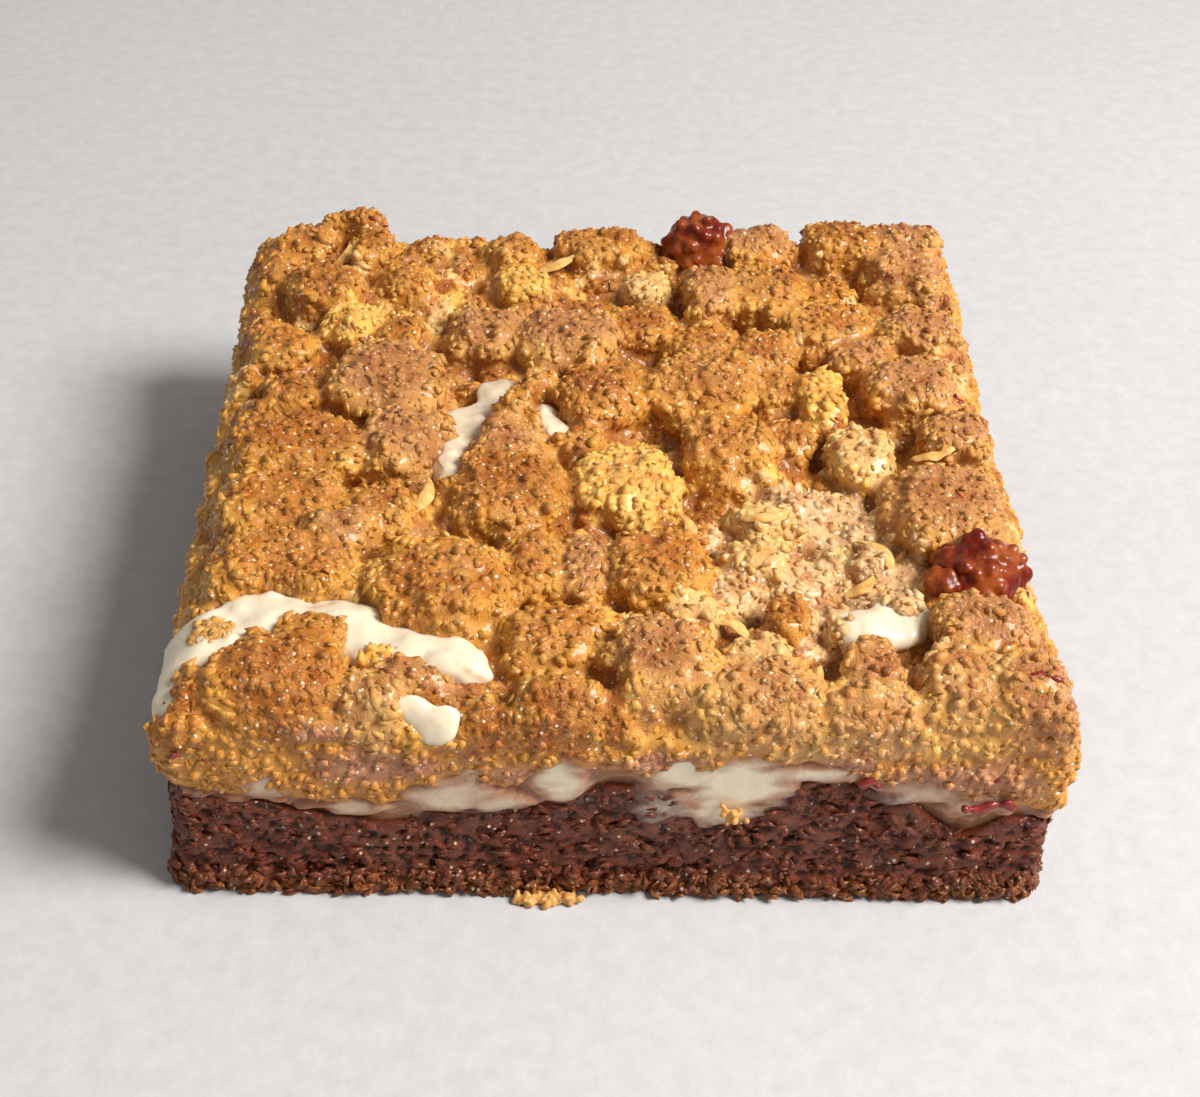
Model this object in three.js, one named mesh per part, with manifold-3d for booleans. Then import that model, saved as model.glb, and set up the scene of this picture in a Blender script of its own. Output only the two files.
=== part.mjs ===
// A crumble-topped blondie square, as cut from a tray: a fudgy chocolate base, a seam of white cream that
// shows in patches along the cut faces, and a golden crumble baked on top, with pools of cream and two
// raspberries sunk into it.
// Millimetres, +Z up. The origin is under the middle of the square, on the surface that it rests on, and
// -Y is the cut face in which the seam shows best.
import * as THREE from "three";
import { mergeVertices } from "three/addons/utils/BufferGeometryUtils.js";
import Module from "manifold-3d";

const wasm = await Module();
wasm.setup();

// Driving dimensions.
const SIDE = 82; // cut face to cut face, where the crumble bulges most
const BASE_SIDE = 80; // the chocolate base, which stands a little further in
const BASE_TOP = 12; // mean height of the chocolate base
const BED_TOP = 21.4; // mean height of the crumble between its lumps
const CREAM_THICK = 1.9; // mean thickness of the cream seam inside
const SEAM_FLOOR = 7; // no part of the seam lies lower than this
const GAP = 0.3; // kept between pieces that touch
const EDGE_BAND = 5; // how far in from a cut face the seam still follows that face
const CORNER_PULL = 0.03; // how much the corners round in plan
const RAGGED = 0.9; // how far a torn cut face stands in and out
const BULGE = 0.9; // how far the crumble's cut faces swell out over the base
const GRAIN = 0.7; // how far the crumble's grain lifts its top
const EDGE_DROP = 1.6; // how far the crumble's top rounds down to its rim
const FOOT_WEAR = 0.4; // how far the foot of the base is worn back

// The top of the chocolate base along the front cut face: [x, height].
const FRONT_BASE = [
  [-41, 13], [-34, 11.6], [-27, 10], [-20, 8.6], [-14, 10.9], [-7, 11.6], [0, 14], [4, 14.2], [8, 9.3],
  [12, 11.5], [18, 15], [24, 13.7], [32, 8.4], [36, 10.4], [41, 10.6],
];
// How thick the cream is along that face; below zero, crumble lies straight on the base.
const FRONT_CREAM = [
  [-41, -1], [-34, -0.6], [-31, 1.6], [-28, 0.4], [-23, 1.6], [-18, 2.2], [-14, 3], [-10, 1.4], [-5, 5],
  [-1, 1.4], [3, 0.7], [7, 6], [11, 7.4], [15, 3.6], [19, 0.8], [24, -0.6], [28, 2.4], [33, 3.4],
  [37, 0.6], [41, -1],
];

// The larger lumps of crumble: [x, y, half width, half depth, top height], from the front to the back.
const LUMPS = [
  [-38, -38, 2.8, 4.2, 22.6], [-30, -35.5, 6.2, 5.4, 24.4], [-21.5, -37.5, 2.8, 2.6, 23.6],
  [-17.4, -38.6, 2.7, 2.8, 24.4], [-11.5, -39.5, 2.8, 2.4, 22.6], [-5.6, -39, 4, 3.6, 23.8],
  [3.6, -33, 4.2, 4.8, 25.4], [12.5, -37.5, 5.8, 4.6, 24.6], [22, -38.5, 4.6, 3.4, 24],
  [22.6, -33.5, 2.5, 3.6, 24.2], [30.5, -35.5, 4.2, 4.4, 25], [36.8, -37, 4.2, 4.4, 25.4],
  [-36.6, -30, 2, 2, 22.8], [-27.4, -29.4, 2.9, 2.7, 23.4], [-18, -34.6, 3, 2.4, 23.4],
  [-5.6, -29.4, 4.6, 4.4, 24], [12.5, -31.8, 2.6, 2, 23.6], [33.4, -28, 4.4, 3.6, 25],
  [7, -26, 2.6, 2.2, 23.2], [15.6, -26.4, 1.8, 2.6, 23.8], [-31, -20.5, 7.4, 5.2, 24.2],
  [-16.6, -23.6, 6.6, 7, 25], [-7.6, -19.6, 2.7, 4.5, 23.6], [-3.2, -20, 1.9, 4.6, 23.8],
  [4, -19.8, 5, 5.4, 24.8], [13.4, -17.6, 3.1, 2, 23.4], [-26, -15.8, 2.9, 2.5, 24.8],
  [-31.4, -10.6, 7, 5, 24], [-22.6, -11.4, 3.4, 4, 24.2], [-10.8, -8.4, 6, 6.8, 24.8],
  [1.6, -7, 5, 5.4, 24.4], [14.4, -12, 3, 2, 23.6], [32.4, -9.6, 5.6, 7, 25], [-31.8, -1, 7, 4.8, 24.6],
  [-20.6, -1, 4.6, 4.8, 25], [-11, -0.4, 4, 3.8, 24.2], [-3.6, 1.4, 2.8, 2.6, 23.6],
  [11.6, -0.6, 4.8, 5, 25], [25, -2, 3.1, 3.6, 24.8], [18, 1.2, 2.7, 2.7, 23.8],
  [35.6, 1.8, 3.8, 3.6, 24.8], [-33.4, 7.6, 3, 2.8, 24], [-22.8, 9.4, 6.4, 6.2, 25.4],
  [-8.2, 6.8, 2.7, 3.5, 25.4], [-0.8, 8, 4.5, 4.7, 24.8], [10, 10, 6.2, 5.2, 25.2],
  [18.2, 9.6, 2.9, 3, 24.2], [22, 7.4, 2.1, 4.6, 25.2], [31.8, 10.4, 4.8, 4.4, 25.4],
  [-34.6, 15.8, 3.2, 3.2, 24.4], [-13, 19, 4.6, 4.6, 25], [-4.4, 17.4, 5.6, 4.8, 26.2],
  [17, 15.4, 3.6, 4, 25], [10.4, 17.4, 3.8, 3.4, 24.6], [27.4, 15.4, 3.4, 2.8, 24.8],
  [34.6, 20, 4.8, 3.8, 26], [-27.6, 20, 2.9, 2.8, 25], [-22.4, 18.4, 2.1, 3.2, 24.6],
  [3.6, 21, 3.6, 3.6, 24.8], [24.6, 20.8, 5.6, 4, 25.6], [-31, 26, 3.9, 3.9, 26.2],
  [-22, 28, 2.6, 2.8, 25.2], [-9.2, 28.6, 2.6, 2.8, 25.2], [4.6, 29, 2.6, 2.6, 24.8],
  [11.6, 26.6, 2.8, 4.4, 26.8], [18, 27.6, 4.2, 5.6, 26.4], [24.6, 27.6, 3, 3, 25.2],
  [34.2, 29.8, 4.6, 4.8, 26.8], [-37, 30, 2.8, 2.8, 24.8], [-26, 34, 2, 3.6, 26.4],
  [-34, 35.6, 3.2, 3.4, 25.8], [-10.2, 35.4, 2.9, 3.4, 25.2], [-0.4, 36.4, 5.6, 4, 26.2],
  [17, 36.4, 4.4, 4.2, 27], [27.4, 36.6, 4.2, 4, 27.6], [34.6, 37, 4.4, 3.6, 27.8],
  [-28.4, 38.6, 2.9, 2.4, 27.8],
];

// Cream that has welled up between the lumps: [x, y, half width, half depth] for each spot of a pool.
const POOL_TOP = 23; // how high a pool stands in its middle
const POOL_BED = 20.6; // the crumble under a pool
const POOLS = {
  cream_pool_left: [
    [-38.2, -36, 2.8, 4.6], [-37, -29.6, 4, 4.2], [-31.6, -26.6, 5, 3], [-25.6, -27.4, 4.6, 3.6],
    [-20.6, -31, 4.4, 2.9], [-14, -33, 3.8, 3.8],
  ],
  cream_pool_middle: [[-16.4, -3, 2.6, 4], [-14.6, 3.4, 2.8, 4.6], [-11.4, 8.6, 3.4, 4], [-6, 4.6, 3, 4.4]],
  cream_pool_right: [[22, -28, 4, 3.2], [26.4, -25.4, 3.4, 3.8]],
};

// Raspberries sunk into the crumble: [x, y, z of the middle, half width, half depth, half height].
const BERRIES = {
  raspberry_right: [34.6, -19, 21.8, 5, 4.6, 4.2],
  raspberry_back: [9.8, 35.6, 23.2, 5, 4.6, 4.8],
};
const DRUPELET = 1.5; // radius of one bead of a raspberry
const DRUPELETS = 26;

// Shards of pale shortcrust lying on the crumble: [x, y, half length, turn in degrees].
const SHARD_WIDTH = 1.4;
const SHARD_THICK = 1;
const SHARDS = [
  [-18, -9.8, 3.4, 78], [7.4, -13, 3.8, 92], [25.4, -15.6, 3.8, 118], [-5, 32, 3.4, 30],
  [33, -2.6, 3, 20], [-3, -14, 2.8, 60], [-29, 33, 2.8, 70], [10.6, -27.6, 2.8, 150], [14.6, -13, 3, 10],
  [23.6, -20.4, 2.6, 40], [-25.6, -15.4, 3, 15], [30, 23.4, 2.8, 65],
];

// Colours, as baked.
const CHOCOLATE = { color: 0x4a2a1c, roughness: 0.55, metalness: 0 };
const CREAM = { color: 0xf1e6cf, roughness: 0.35, metalness: 0 };
const CRUMBLE = { color: 0xcb9144, roughness: 0.6, metalness: 0 };
const RASPBERRY = { color: 0x7e2a1a, roughness: 0.35, metalness: 0 };

// The same draws every time, from 0 to 1.
function draws(seed) {
  let state = seed;
  return () => {
    state = (state * 1664525 + 1013904223) % 4294967296;
    return state / 4294967296;
  };
}

// Smooth unevenness from three crossing waves, from about -1 to 1.
function waves(x, y, length, phase) {
  const k = (2 * Math.PI) / length;
  const first = Math.sin(k * (0.92 * x + 0.39 * y) + phase);
  const second = Math.sin(1.7 * k * (0.88 * y - 0.47 * x) + 2.1 * phase);
  const third = Math.sin(2.9 * k * (0.6 * x - 0.8 * y) + 3.3 * phase);
  return (first + second + 0.5 * third) / 2.5;
}

function ease(value, from, to) {
  return THREE.MathUtils.smoothstep(value, from, to);
}

// The height at x of a line through knots, eased from each to the next and level past the last.
function along(knots, x) {
  const found = knots.findIndex((knot) => knot[0] >= x);
  const next = found < 0 ? knots.length - 1 : Math.max(1, found);
  const [x0, z0] = knots[next - 1];
  const [x1, z1] = knots[next];
  return z0 + (z1 - z0) * ease(x, x0, x1);
}

// The top of the chocolate base.
function baseTop(x, y) {
  const inside = BASE_TOP + 1.5 * waves(x, y, 36, 0.7);
  const atFront = 1 - ease(y, -SIDE / 2, -SIDE / 2 + 2.4 * EDGE_BAND);
  return inside + (along(FRONT_BASE, x) - inside) * atFront;
}

// The cream is a continuous sheet inside, and comes and goes along the cut faces.
function creamThickness(x, y) {
  const inside = CREAM_THICK + 0.7 * waves(x, y, 30, 2.3);
  const faceDistance = SIDE / 2 - Math.max(Math.abs(x), Math.abs(y));
  const atFace = 1 - ease(faceDistance, 0, EDGE_BAND);
  const front = y < 0 && Math.abs(y) > Math.abs(x) - EDGE_BAND;
  const face = front ? along(FRONT_CREAM, x) : 1.2 + 3.2 * waves(x, y, 33, 4.1);
  return inside + (face - inside) * atFace;
}

function creamTop(x, y) {
  return baseTop(x, y) + GAP + creamThickness(x, y);
}

// Where the crumble starts: over the cream, or over the base where the cream runs out.
function crumbleBottom(x, y) {
  return Math.max(creamTop(x, y), baseTop(x, y)) + GAP;
}

// How far into an oval a point lies: 1 in the middle, 0 at its rim or outside.
function dome(x, y, [cx, cy, rx, ry], sharpness = 2.4) {
  const out = Math.hypot((x - cx) / rx, (y - cy) / ry);
  return out >= 1 ? 0 : (1 - out ** sharpness) ** 0.75;
}

function poolDepth(x, y) {
  return Math.max(...Object.values(POOLS).flat().map((spot) => dome(x, y, spot)));
}

// The crumble's upper surface, without its grain.
function crumbleTop(x, y) {
  const open = BED_TOP + 0.7 * waves(x, y, 17, 1.9) + 0.5 * waves(x, y, 6.5, 0.4);
  const crest = Math.max(open, ...LUMPS.map((lump) => open + (lump[4] - open) * dome(x, y, lump)));
  return crest + (POOL_BED - crest) * ease(poolDepth(x, y), 0.1, 0.6);
}

// A closed solid from a square grid seen from above, side walls, and a flat floor. topPoint takes grid
// places from -1 to 1, and sidePoint takes a place on the rim and how far down the wall it is, 0 to 1.
function loaf(cells, courses, topPoint, sidePoint) {
  const positions = [];
  const triangles = [];
  const add = (point) => {
    positions.push(point.x, point.y, point.z);
    return positions.length / 3 - 1;
  };
  const place = (i) => (2 * i) / cells - 1;
  const top = [];
  for (let j = 0; j <= cells; j++)
    for (let i = 0; i <= cells; i++) top.push(add(topPoint(place(i), place(j))));
  const at = (i, j) => top[j * (cells + 1) + i];
  for (let j = 0; j < cells; j++)
    for (let i = 0; i < cells; i++) {
      triangles.push(at(i, j), at(i + 1, j), at(i + 1, j + 1));
      triangles.push(at(i, j), at(i + 1, j + 1), at(i, j + 1));
    }
  const rim = [];
  for (let i = 0; i < cells; i++) rim.push([i, 0]);
  for (let j = 0; j < cells; j++) rim.push([cells, j]);
  for (let i = cells; i > 0; i--) rim.push([i, cells]);
  for (let j = cells; j > 0; j--) rim.push([0, j]);
  let upper = rim.map(([i, j]) => at(i, j));
  for (let course = 1; course <= courses; course++) {
    const lower = rim.map(([i, j]) => add(sidePoint(place(i), place(j), course / courses)));
    rim.forEach((_, here) => {
      const next = (here + 1) % rim.length;
      triangles.push(upper[here], lower[here], lower[next]);
      triangles.push(upper[here], lower[next], upper[next]);
    });
    upper = lower;
  }
  const floor = sidePoint(1, 0, 1).z;
  const middle = add(new THREE.Vector3(0, 0, floor));
  rim.forEach((_, here) => triangles.push(middle, upper[(here + 1) % rim.length], upper[here]));
  return solid(new Float32Array(positions), new Uint32Array(triangles));
}

function solid(vertProperties, triVerts) {
  return new wasm.Manifold(new wasm.Mesh({ numProp: 3, vertProperties, triVerts }));
}

function solidOf(geometry) {
  geometry.deleteAttribute("normal");
  geometry.deleteAttribute("uv");
  const merged = mergeVertices(geometry, 1e-4);
  return solid(merged.getAttribute("position").array, new Uint32Array(merged.index.array));
}

// A point of the plan, with its corners rounded.
function planPoint(s, t, half, z) {
  const x = half * s * Math.sqrt(1 - 2 * CORNER_PULL * t ** 8);
  const y = half * t * Math.sqrt(1 - 2 * CORNER_PULL * s ** 8);
  return new THREE.Vector3(x, y, z);
}

// Everything below a surface, out past the cut faces, for cutting one layer from the next.
function below(surface, cells) {
  const half = SIDE / 2 + 1;
  const topPoint = (s, t) => new THREE.Vector3(half * s, half * t, surface(half * s, half * t));
  const sidePoint = (s, t) => new THREE.Vector3(half * s, half * t, -1);
  return loaf(cells, 1, topPoint, sidePoint);
}

const SEAM_CELLS = 15;
const belowBaseTop = below(baseTop, SEAM_CELLS);
const belowCreamFloor = below((x, y) => baseTop(x, y) + GAP, SEAM_CELLS);
const belowCreamTop = below(creamTop, SEAM_CELLS);
const belowCrumble = below(crumbleBottom, SEAM_CELLS);

// The chocolate base: its cut faces are ragged in level courses, and its foot is worn back.
function chocolateBase() {
  const cells = 20;
  const courses = 6;
  const wallTop = 17;
  const grain = draws(11);
  const wall = (s, t, down) => {
    const z = wallTop * (1 - down);
    const foot = -FOOT_WEAR * (1 - ease(z, 0, 2.6));
    const flakes = Math.sin(2.4 * z + 3 * waves(s * SIDE / 2, t * SIDE / 2, 30, 1.1));
    const ragged = RAGGED * (grain() - 0.5 + flakes / 3);
    return planPoint(s, t, BASE_SIDE / 2 + foot + ragged, z);
  };
  const block = loaf(cells, courses, (s, t) => planPoint(s, t, BASE_SIDE / 2, wallTop), wall);
  return block.intersect(belowBaseTop);
}

// The cream sheet, smoother at the cut faces than the layers on either side.
function creamLayer() {
  const cells = 16;
  const courses = 2;
  const roof = 22;
  const half = (BASE_SIDE - GAP) / 2;
  const wall = (s, t, down) => {
    const z = THREE.MathUtils.lerp(roof, SEAM_FLOOR, down);
    return planPoint(s, t, half + 0.3 * waves(s * half, t * half, 18, 3.7), z);
  };
  const block = loaf(cells, courses, (s, t) => planPoint(s, t, half, roof), wall);
  return largest(block.intersect(belowCreamTop).subtract(belowCreamFloor));
}

// The crumble down to the seam's floor: a bed with lumps and grain on top, and cut faces that bulge over
// the base. It is raised by the lift.
function crumbleBlock(lift) {
  const cells = 46;
  const courses = 4;
  const grain = draws(5);
  const rimHalf = SIDE / 2 - 0.7;
  const topPoint = (s, t) => {
    const point = planPoint(s, t, rimHalf, 0);
    const toRim = rimHalf - Math.max(Math.abs(point.x), Math.abs(point.y));
    const rounded = -EDGE_DROP * (1 - ease(toRim, 0, 1.5 * EDGE_DROP));
    point.z = crumbleTop(point.x, point.y) + rounded + GRAIN * (grain() - 0.5) + lift;
    return point;
  };
  const wall = (s, t, down) => {
    const rim = planPoint(s, t, rimHalf, 0);
    const z = THREE.MathUtils.lerp(crumbleTop(rim.x, rim.y) - EDGE_DROP, SEAM_FLOOR, down);
    const out = BULGE * Math.sin(Math.PI * down) + RAGGED * (grain() - 0.5);
    return planPoint(s, t, rimHalf + out, down === 1 ? SEAM_FLOOR : z + lift);
  };
  return loaf(cells, courses, topPoint, wall);
}

function crumbleLayer() {
  const knifeCut = solidOf(new THREE.BoxGeometry(SIDE, SIDE, 4 * BED_TOP));
  let crumble = crumbleBlock(0);
  for (const shard of SHARDS) crumble = crumble.add(shortcrustShard(shard));
  crumble = crumble.intersect(knifeCut).subtract(belowCrumble);
  for (const place of Object.values(BERRIES)) crumble = crumble.subtract(socket(place));
  return largest(crumble);
}

// A shard: a thin pointed flake, tipped a little, with its lower half sunk in the crumble.
function shortcrustShard([x, y, reach, turn]) {
  const flake = new THREE.OctahedronGeometry(1, 1).scale(reach, SHARD_WIDTH, SHARD_THICK);
  flake.rotateY(0.14).rotateZ(THREE.MathUtils.degToRad(turn));
  return solidOf(flake.translate(x, y, crumbleTop(x, y) + 0.5 * SHARD_THICK));
}

// A pool of cream: a low dome over its spots, cut back wherever the crumble comes through it.
function creamPool(spots) {
  const cells = 40;
  const half = SIDE / 2 - 1;
  const poolTop = (x, y) => {
    const depth = Math.max(...spots.map((spot) => dome(x, y, spot, 3)));
    return POOL_BED - 2 + (POOL_TOP + 2 - POOL_BED) * Math.min(1, 1.25 * depth);
  };
  const topPoint = (s, t) => {
    const point = planPoint(s, t, half, 0);
    point.z = poolTop(point.x, point.y);
    return point;
  };
  const cover = loaf(cells, 1, topPoint, (s, t) => planPoint(s, t, half, SEAM_FLOOR + 1));
  return largest(cover.subtract(crumbleBlock(GAP)));
}

// A raspberry: beads spread evenly over an oval, by the golden angle, standing out from its round body.
function raspberry([x, y, z, rx, ry, rz]) {
  const turn = Math.PI * (3 - Math.sqrt(5));
  const beads = Array.from({ length: DRUPELETS }, (_, bead) => {
    const up = 1 - (2 * (bead + 0.5)) / DRUPELETS;
    const around = Math.sqrt(1 - up * up);
    return new THREE.Vector3(around * Math.cos(turn * bead), around * Math.sin(turn * bead), up);
  });
  const berry = new THREE.IcosahedronGeometry(1, 5);
  const points = berry.getAttribute("position");
  const point = new THREE.Vector3();
  for (let i = 0; i < points.count; i++) {
    point.fromBufferAttribute(points, i);
    const apart = Math.min(...beads.map((bead) => bead.distanceTo(point))) * rx / DRUPELET;
    point.multiplyScalar(1 - 0.16 * Math.min(1, apart * apart));
    points.setXYZ(i, x + rx * point.x, y + ry * point.y, z + rz * point.z);
  }
  return solidOf(berry);
}

// The room that a raspberry takes up in the crumble.
function socket([x, y, z, rx, ry, rz]) {
  const room = new THREE.IcosahedronGeometry(1, 3).scale(rx + 2 * GAP, ry + 2 * GAP, rz + 2 * GAP);
  return solidOf(room.translate(x, y, z));
}

function largest(made) {
  return made.decompose().sort((a, b) => b.volume() - a.volume())[0];
}

function mesh(name, made, finish) {
  const { vertProperties, triVerts } = made.getMesh();
  const geometry = new THREE.BufferGeometry();
  geometry.setAttribute("position", new THREE.BufferAttribute(vertProperties, 3));
  geometry.setIndex(new THREE.BufferAttribute(triVerts, 1));
  geometry.computeVertexNormals();
  const named = new THREE.Mesh(geometry, new THREE.MeshStandardMaterial(finish));
  named.name = name;
  return named;
}

const blondie = new THREE.Group();
blondie.name = "blondie";
blondie.add(mesh("chocolate_base", chocolateBase(), CHOCOLATE));
blondie.add(mesh("cream_layer", creamLayer(), CREAM));

blondie.add(mesh("crumble_layer", crumbleLayer(), CRUMBLE));
for (const [name, spots] of Object.entries(POOLS)) blondie.add(mesh(name, creamPool(spots), CREAM));
for (const [name, place] of Object.entries(BERRIES)) blondie.add(mesh(name, raspberry(place), RASPBERRY));

export default blondie;
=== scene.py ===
import math

import bmesh
import bpy
import numpy as np
from mathutils import Matrix, Vector
from mathutils.kdtree import KDTree


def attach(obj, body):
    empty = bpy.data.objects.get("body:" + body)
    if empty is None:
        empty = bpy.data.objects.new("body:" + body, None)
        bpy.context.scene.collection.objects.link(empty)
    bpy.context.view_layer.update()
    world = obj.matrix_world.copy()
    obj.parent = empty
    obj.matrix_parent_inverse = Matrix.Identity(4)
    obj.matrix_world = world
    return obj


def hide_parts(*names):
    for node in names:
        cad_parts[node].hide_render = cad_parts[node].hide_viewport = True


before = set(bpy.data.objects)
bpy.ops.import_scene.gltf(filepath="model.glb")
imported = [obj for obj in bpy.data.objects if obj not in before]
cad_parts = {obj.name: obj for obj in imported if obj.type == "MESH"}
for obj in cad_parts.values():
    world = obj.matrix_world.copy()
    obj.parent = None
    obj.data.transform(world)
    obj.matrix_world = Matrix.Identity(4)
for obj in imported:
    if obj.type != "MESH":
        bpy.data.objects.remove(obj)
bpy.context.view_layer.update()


# The view and the light. The camera looks down on the front cut face from a little left of the middle. One
# large soft lamp stands to the right and a little in front, and the pale room fills in its shadows.
MM = 0.001
CAMERA_PLACE = Vector((-8.79, -163.56, 139.8)) * MM
CAMERA_YAW, CAMERA_PITCH, CAMERA_ROLL = (math.radians(a) for a in (2.868, 38.586, 2.819))
SENSOR_WIDTH = 36  # mm
LENS = 59.5  # mm
NEAREST_SEEN = 0.005  # metres

camera_data = bpy.data.cameras.new("camera")
camera_data.sensor_width = SENSOR_WIDTH
camera_data.lens = LENS
camera_data.clip_start = NEAREST_SEEN
camera = bpy.data.objects.new("camera", camera_data)
bpy.context.scene.collection.objects.link(camera)
level = Vector((math.sin(CAMERA_YAW), math.cos(CAMERA_YAW), 0))
ahead = level * math.cos(CAMERA_PITCH) - Vector((0, 0, math.sin(CAMERA_PITCH)))
aside = Vector((math.cos(CAMERA_YAW), -math.sin(CAMERA_YAW), 0))
above = aside.cross(ahead)
turned_aside = math.cos(CAMERA_ROLL) * aside + math.sin(CAMERA_ROLL) * above
turned_above = math.cos(CAMERA_ROLL) * above - math.sin(CAMERA_ROLL) * aside
camera.matrix_world = Matrix.Translation(CAMERA_PLACE) @ Matrix(
    (turned_aside, turned_above, -ahead)
).transposed().to_4x4()
bpy.context.scene.camera = camera
bpy.context.scene.view_settings.view_transform = "Standard"

LAMP_FROM = Vector((0.45, -0.15, 0.53))  # metres
LAMP_SIZE = 0.33
LAMP_POWER = 8.1
LAMP_TINT = (1, 0.985, 0.97)
lamp_data = bpy.data.lights.new("lamp", "AREA")
lamp_data.shape = "DISK"
lamp_data.size = LAMP_SIZE
lamp_data.energy = LAMP_POWER
lamp_data.color = LAMP_TINT
lamp = bpy.data.objects.new("lamp", lamp_data)
bpy.context.scene.collection.objects.link(lamp)
lamp.location = LAMP_FROM
lamp.rotation_euler = LAMP_FROM.to_track_quat("Z", "Y").to_euler()

ROOM_TINT = (1, 0.98, 0.96, 1)
ROOM_STRENGTH = 0.3
room = bpy.data.worlds.new("room")
bpy.context.scene.world = room
room.use_nodes = True
room_light = room.node_tree.nodes["Background"]
room_light.inputs["Color"].default_value = ROOM_TINT
room_light.inputs["Strength"].default_value = ROOM_STRENGTH


# The table is a pale honed limestone slab with a faint mottle. It is left uneven by a hundredth of a
# millimetre or so, which shows as a soft, broken sheen rather than as a pattern.
def hex_colour(code, alpha=1.0):
    """The linear colour of an sRGB hex code."""
    parts = (int(code[i : i + 2], 16) / 255 for i in (1, 3, 5))
    return tuple(p / 12.92 if p <= 0.04045 else ((p + 0.055) / 1.055) ** 2.4 for p in parts) + (alpha,)


def add_node(material, kind, settings=None, numbered=None, **inputs):
    """Adds a shader node. Its sockets are given by name, or by number where two share a name. A socket takes
    a value, a hex colour or another node's output."""
    node = material.node_tree.nodes.new(kind)
    for key, value in (settings or {}).items():
        setattr(node, key, value)
    for key, value in [*(numbered or {}).items(), *inputs.items()]:
        socket = node.inputs[key if isinstance(key, int) else key.replace("_", " ")]
        if isinstance(value, bpy.types.NodeSocket):
            material.node_tree.links.new(value, socket)
        else:
            socket.default_value = hex_colour(value) if isinstance(value, str) else value
    return node


def link(material, output, socket):
    material.node_tree.links.new(output, socket)


def new_material(name, finish):
    """A material and its surface shader. The finish holds the values that are the same all over it."""
    material = bpy.data.materials.new(name)
    material.use_nodes = True
    shader = material.node_tree.nodes["Principled BSDF"]
    for socket, value in finish.items():
        shader.inputs[socket].default_value = value
    return material, shader


def tinted(material, colour, layers):
    """Lays tints over a colour in turn. Each layer is what it follows, where it starts, where it is full, how
    strong it then is, its tint and, unless it covers, its way of blending."""
    for source, start, full, strength, tint, *blend in layers:
        share = add_node(
            material, "ShaderNodeMapRange", Value=source, From_Min=start, From_Max=full, To_Max=strength
        )
        settings = {"data_type": "RGBA", "blend_type": blend[0] if blend else "MIX"}
        sockets = {0: share.outputs["Result"], 6: colour, 7: tint}
        colour = add_node(material, "ShaderNodeMix", settings, sockets).outputs[2]
    return colour


stone, shader = new_material("limestone_honed", {"Roughness": 0.75})
where = add_node(stone, "ShaderNodeTexCoord").outputs["Object"]
# The mottle is about 100 mm across, over a grain of 2 mm.
broad = add_node(stone, "ShaderNodeTexNoise", Vector=where, Scale=9, Detail=5, Roughness=0.6)
fine = add_node(stone, "ShaderNodeTexNoise", Vector=where, Scale=420, Detail=6, Roughness=0.65)
colour = tinted(
    stone,
    "#bdbbbb",
    (
        (broad.outputs["Fac"], 0, 1, 1, "#c9c8c8"),
        (1, 0, 1, 0.35, fine.outputs["Fac"], "SOFT_LIGHT"),
    ),
)
link(stone, colour, shader.inputs["Base Color"])
rough = add_node(stone, "ShaderNodeBump", Height=fine.outputs["Fac"], Strength=0.25, Distance=0.0003)
link(stone, rough.outputs["Normal"], shader.inputs["Normal"])

TABLE = 3  # metres
bpy.ops.mesh.primitive_plane_add(size=TABLE)
table = bpy.context.object
table.name = "table_top"
table.data.materials.append(stone)


# The chocolate base is a dense, moist bake, cut with a knife that dragged its crumb into level flakes.
# Its cut faces are a relief of thousands of thin flakes and small pits, and its foot is drier and redder.
SIDE = 82  # the crumble, from cut face to cut face, in millimetres as every size below
BASE_SIDE = 80
BASE_TOP = 12
CREAM_THICK = 1.9
GAP = 0.3  # between one layer and the next
EDGE_BAND = 5  # how far in from the cut faces the layers follow the lines that show there
CORNER = 1.6
# The lines on the front face: (x, how high the base reaches), then (x, how thick the cream is).
FRONT_BASE = (
    (-41, 13), (-34, 11.6), (-27, 10), (-20, 8.6), (-14, 10.9), (-7, 11.6), (0, 14), (4, 14.2), (8, 9.3),
    (12, 11.5), (18, 15), (24, 13.7), (32, 8.4), (36, 10.4), (41, 10.6),
)
FRONT_CREAM = (
    (-41, -1), (-34, -0.6), (-31, 1.6), (-28, 0.4), (-23, 1.6), (-18, 2.2), (-14, 3), (-10, 1.4), (-5, 5),
    (-1, 1.4), (3, 0.7), (7, 6), (11, 7.4), (15, 3.6), (19, 0.8), (24, -0.6), (28, 2.4), (33, 3.4),
    (37, 0.6), (41, -1),
)


def ease(value, start, end):
    """From 0 at the start to 1 at the end, gently."""
    share = np.clip((value - start) / (end - start), 0, 1)
    return share * share * (3 - 2 * share)


def waves(x, y, length, phase):
    """The slow unevenness of the layers, about -1 to 1."""
    k = 2 * math.pi / length
    first = np.sin(k * (0.92 * x + 0.39 * y) + phase)
    second = np.sin(1.7 * k * (0.88 * y - 0.47 * x) + 2.1 * phase)
    third = np.sin(2.9 * k * (0.6 * x - 0.8 * y) + 3.3 * phase)
    return (first + second + 0.5 * third) / 2.5


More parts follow.
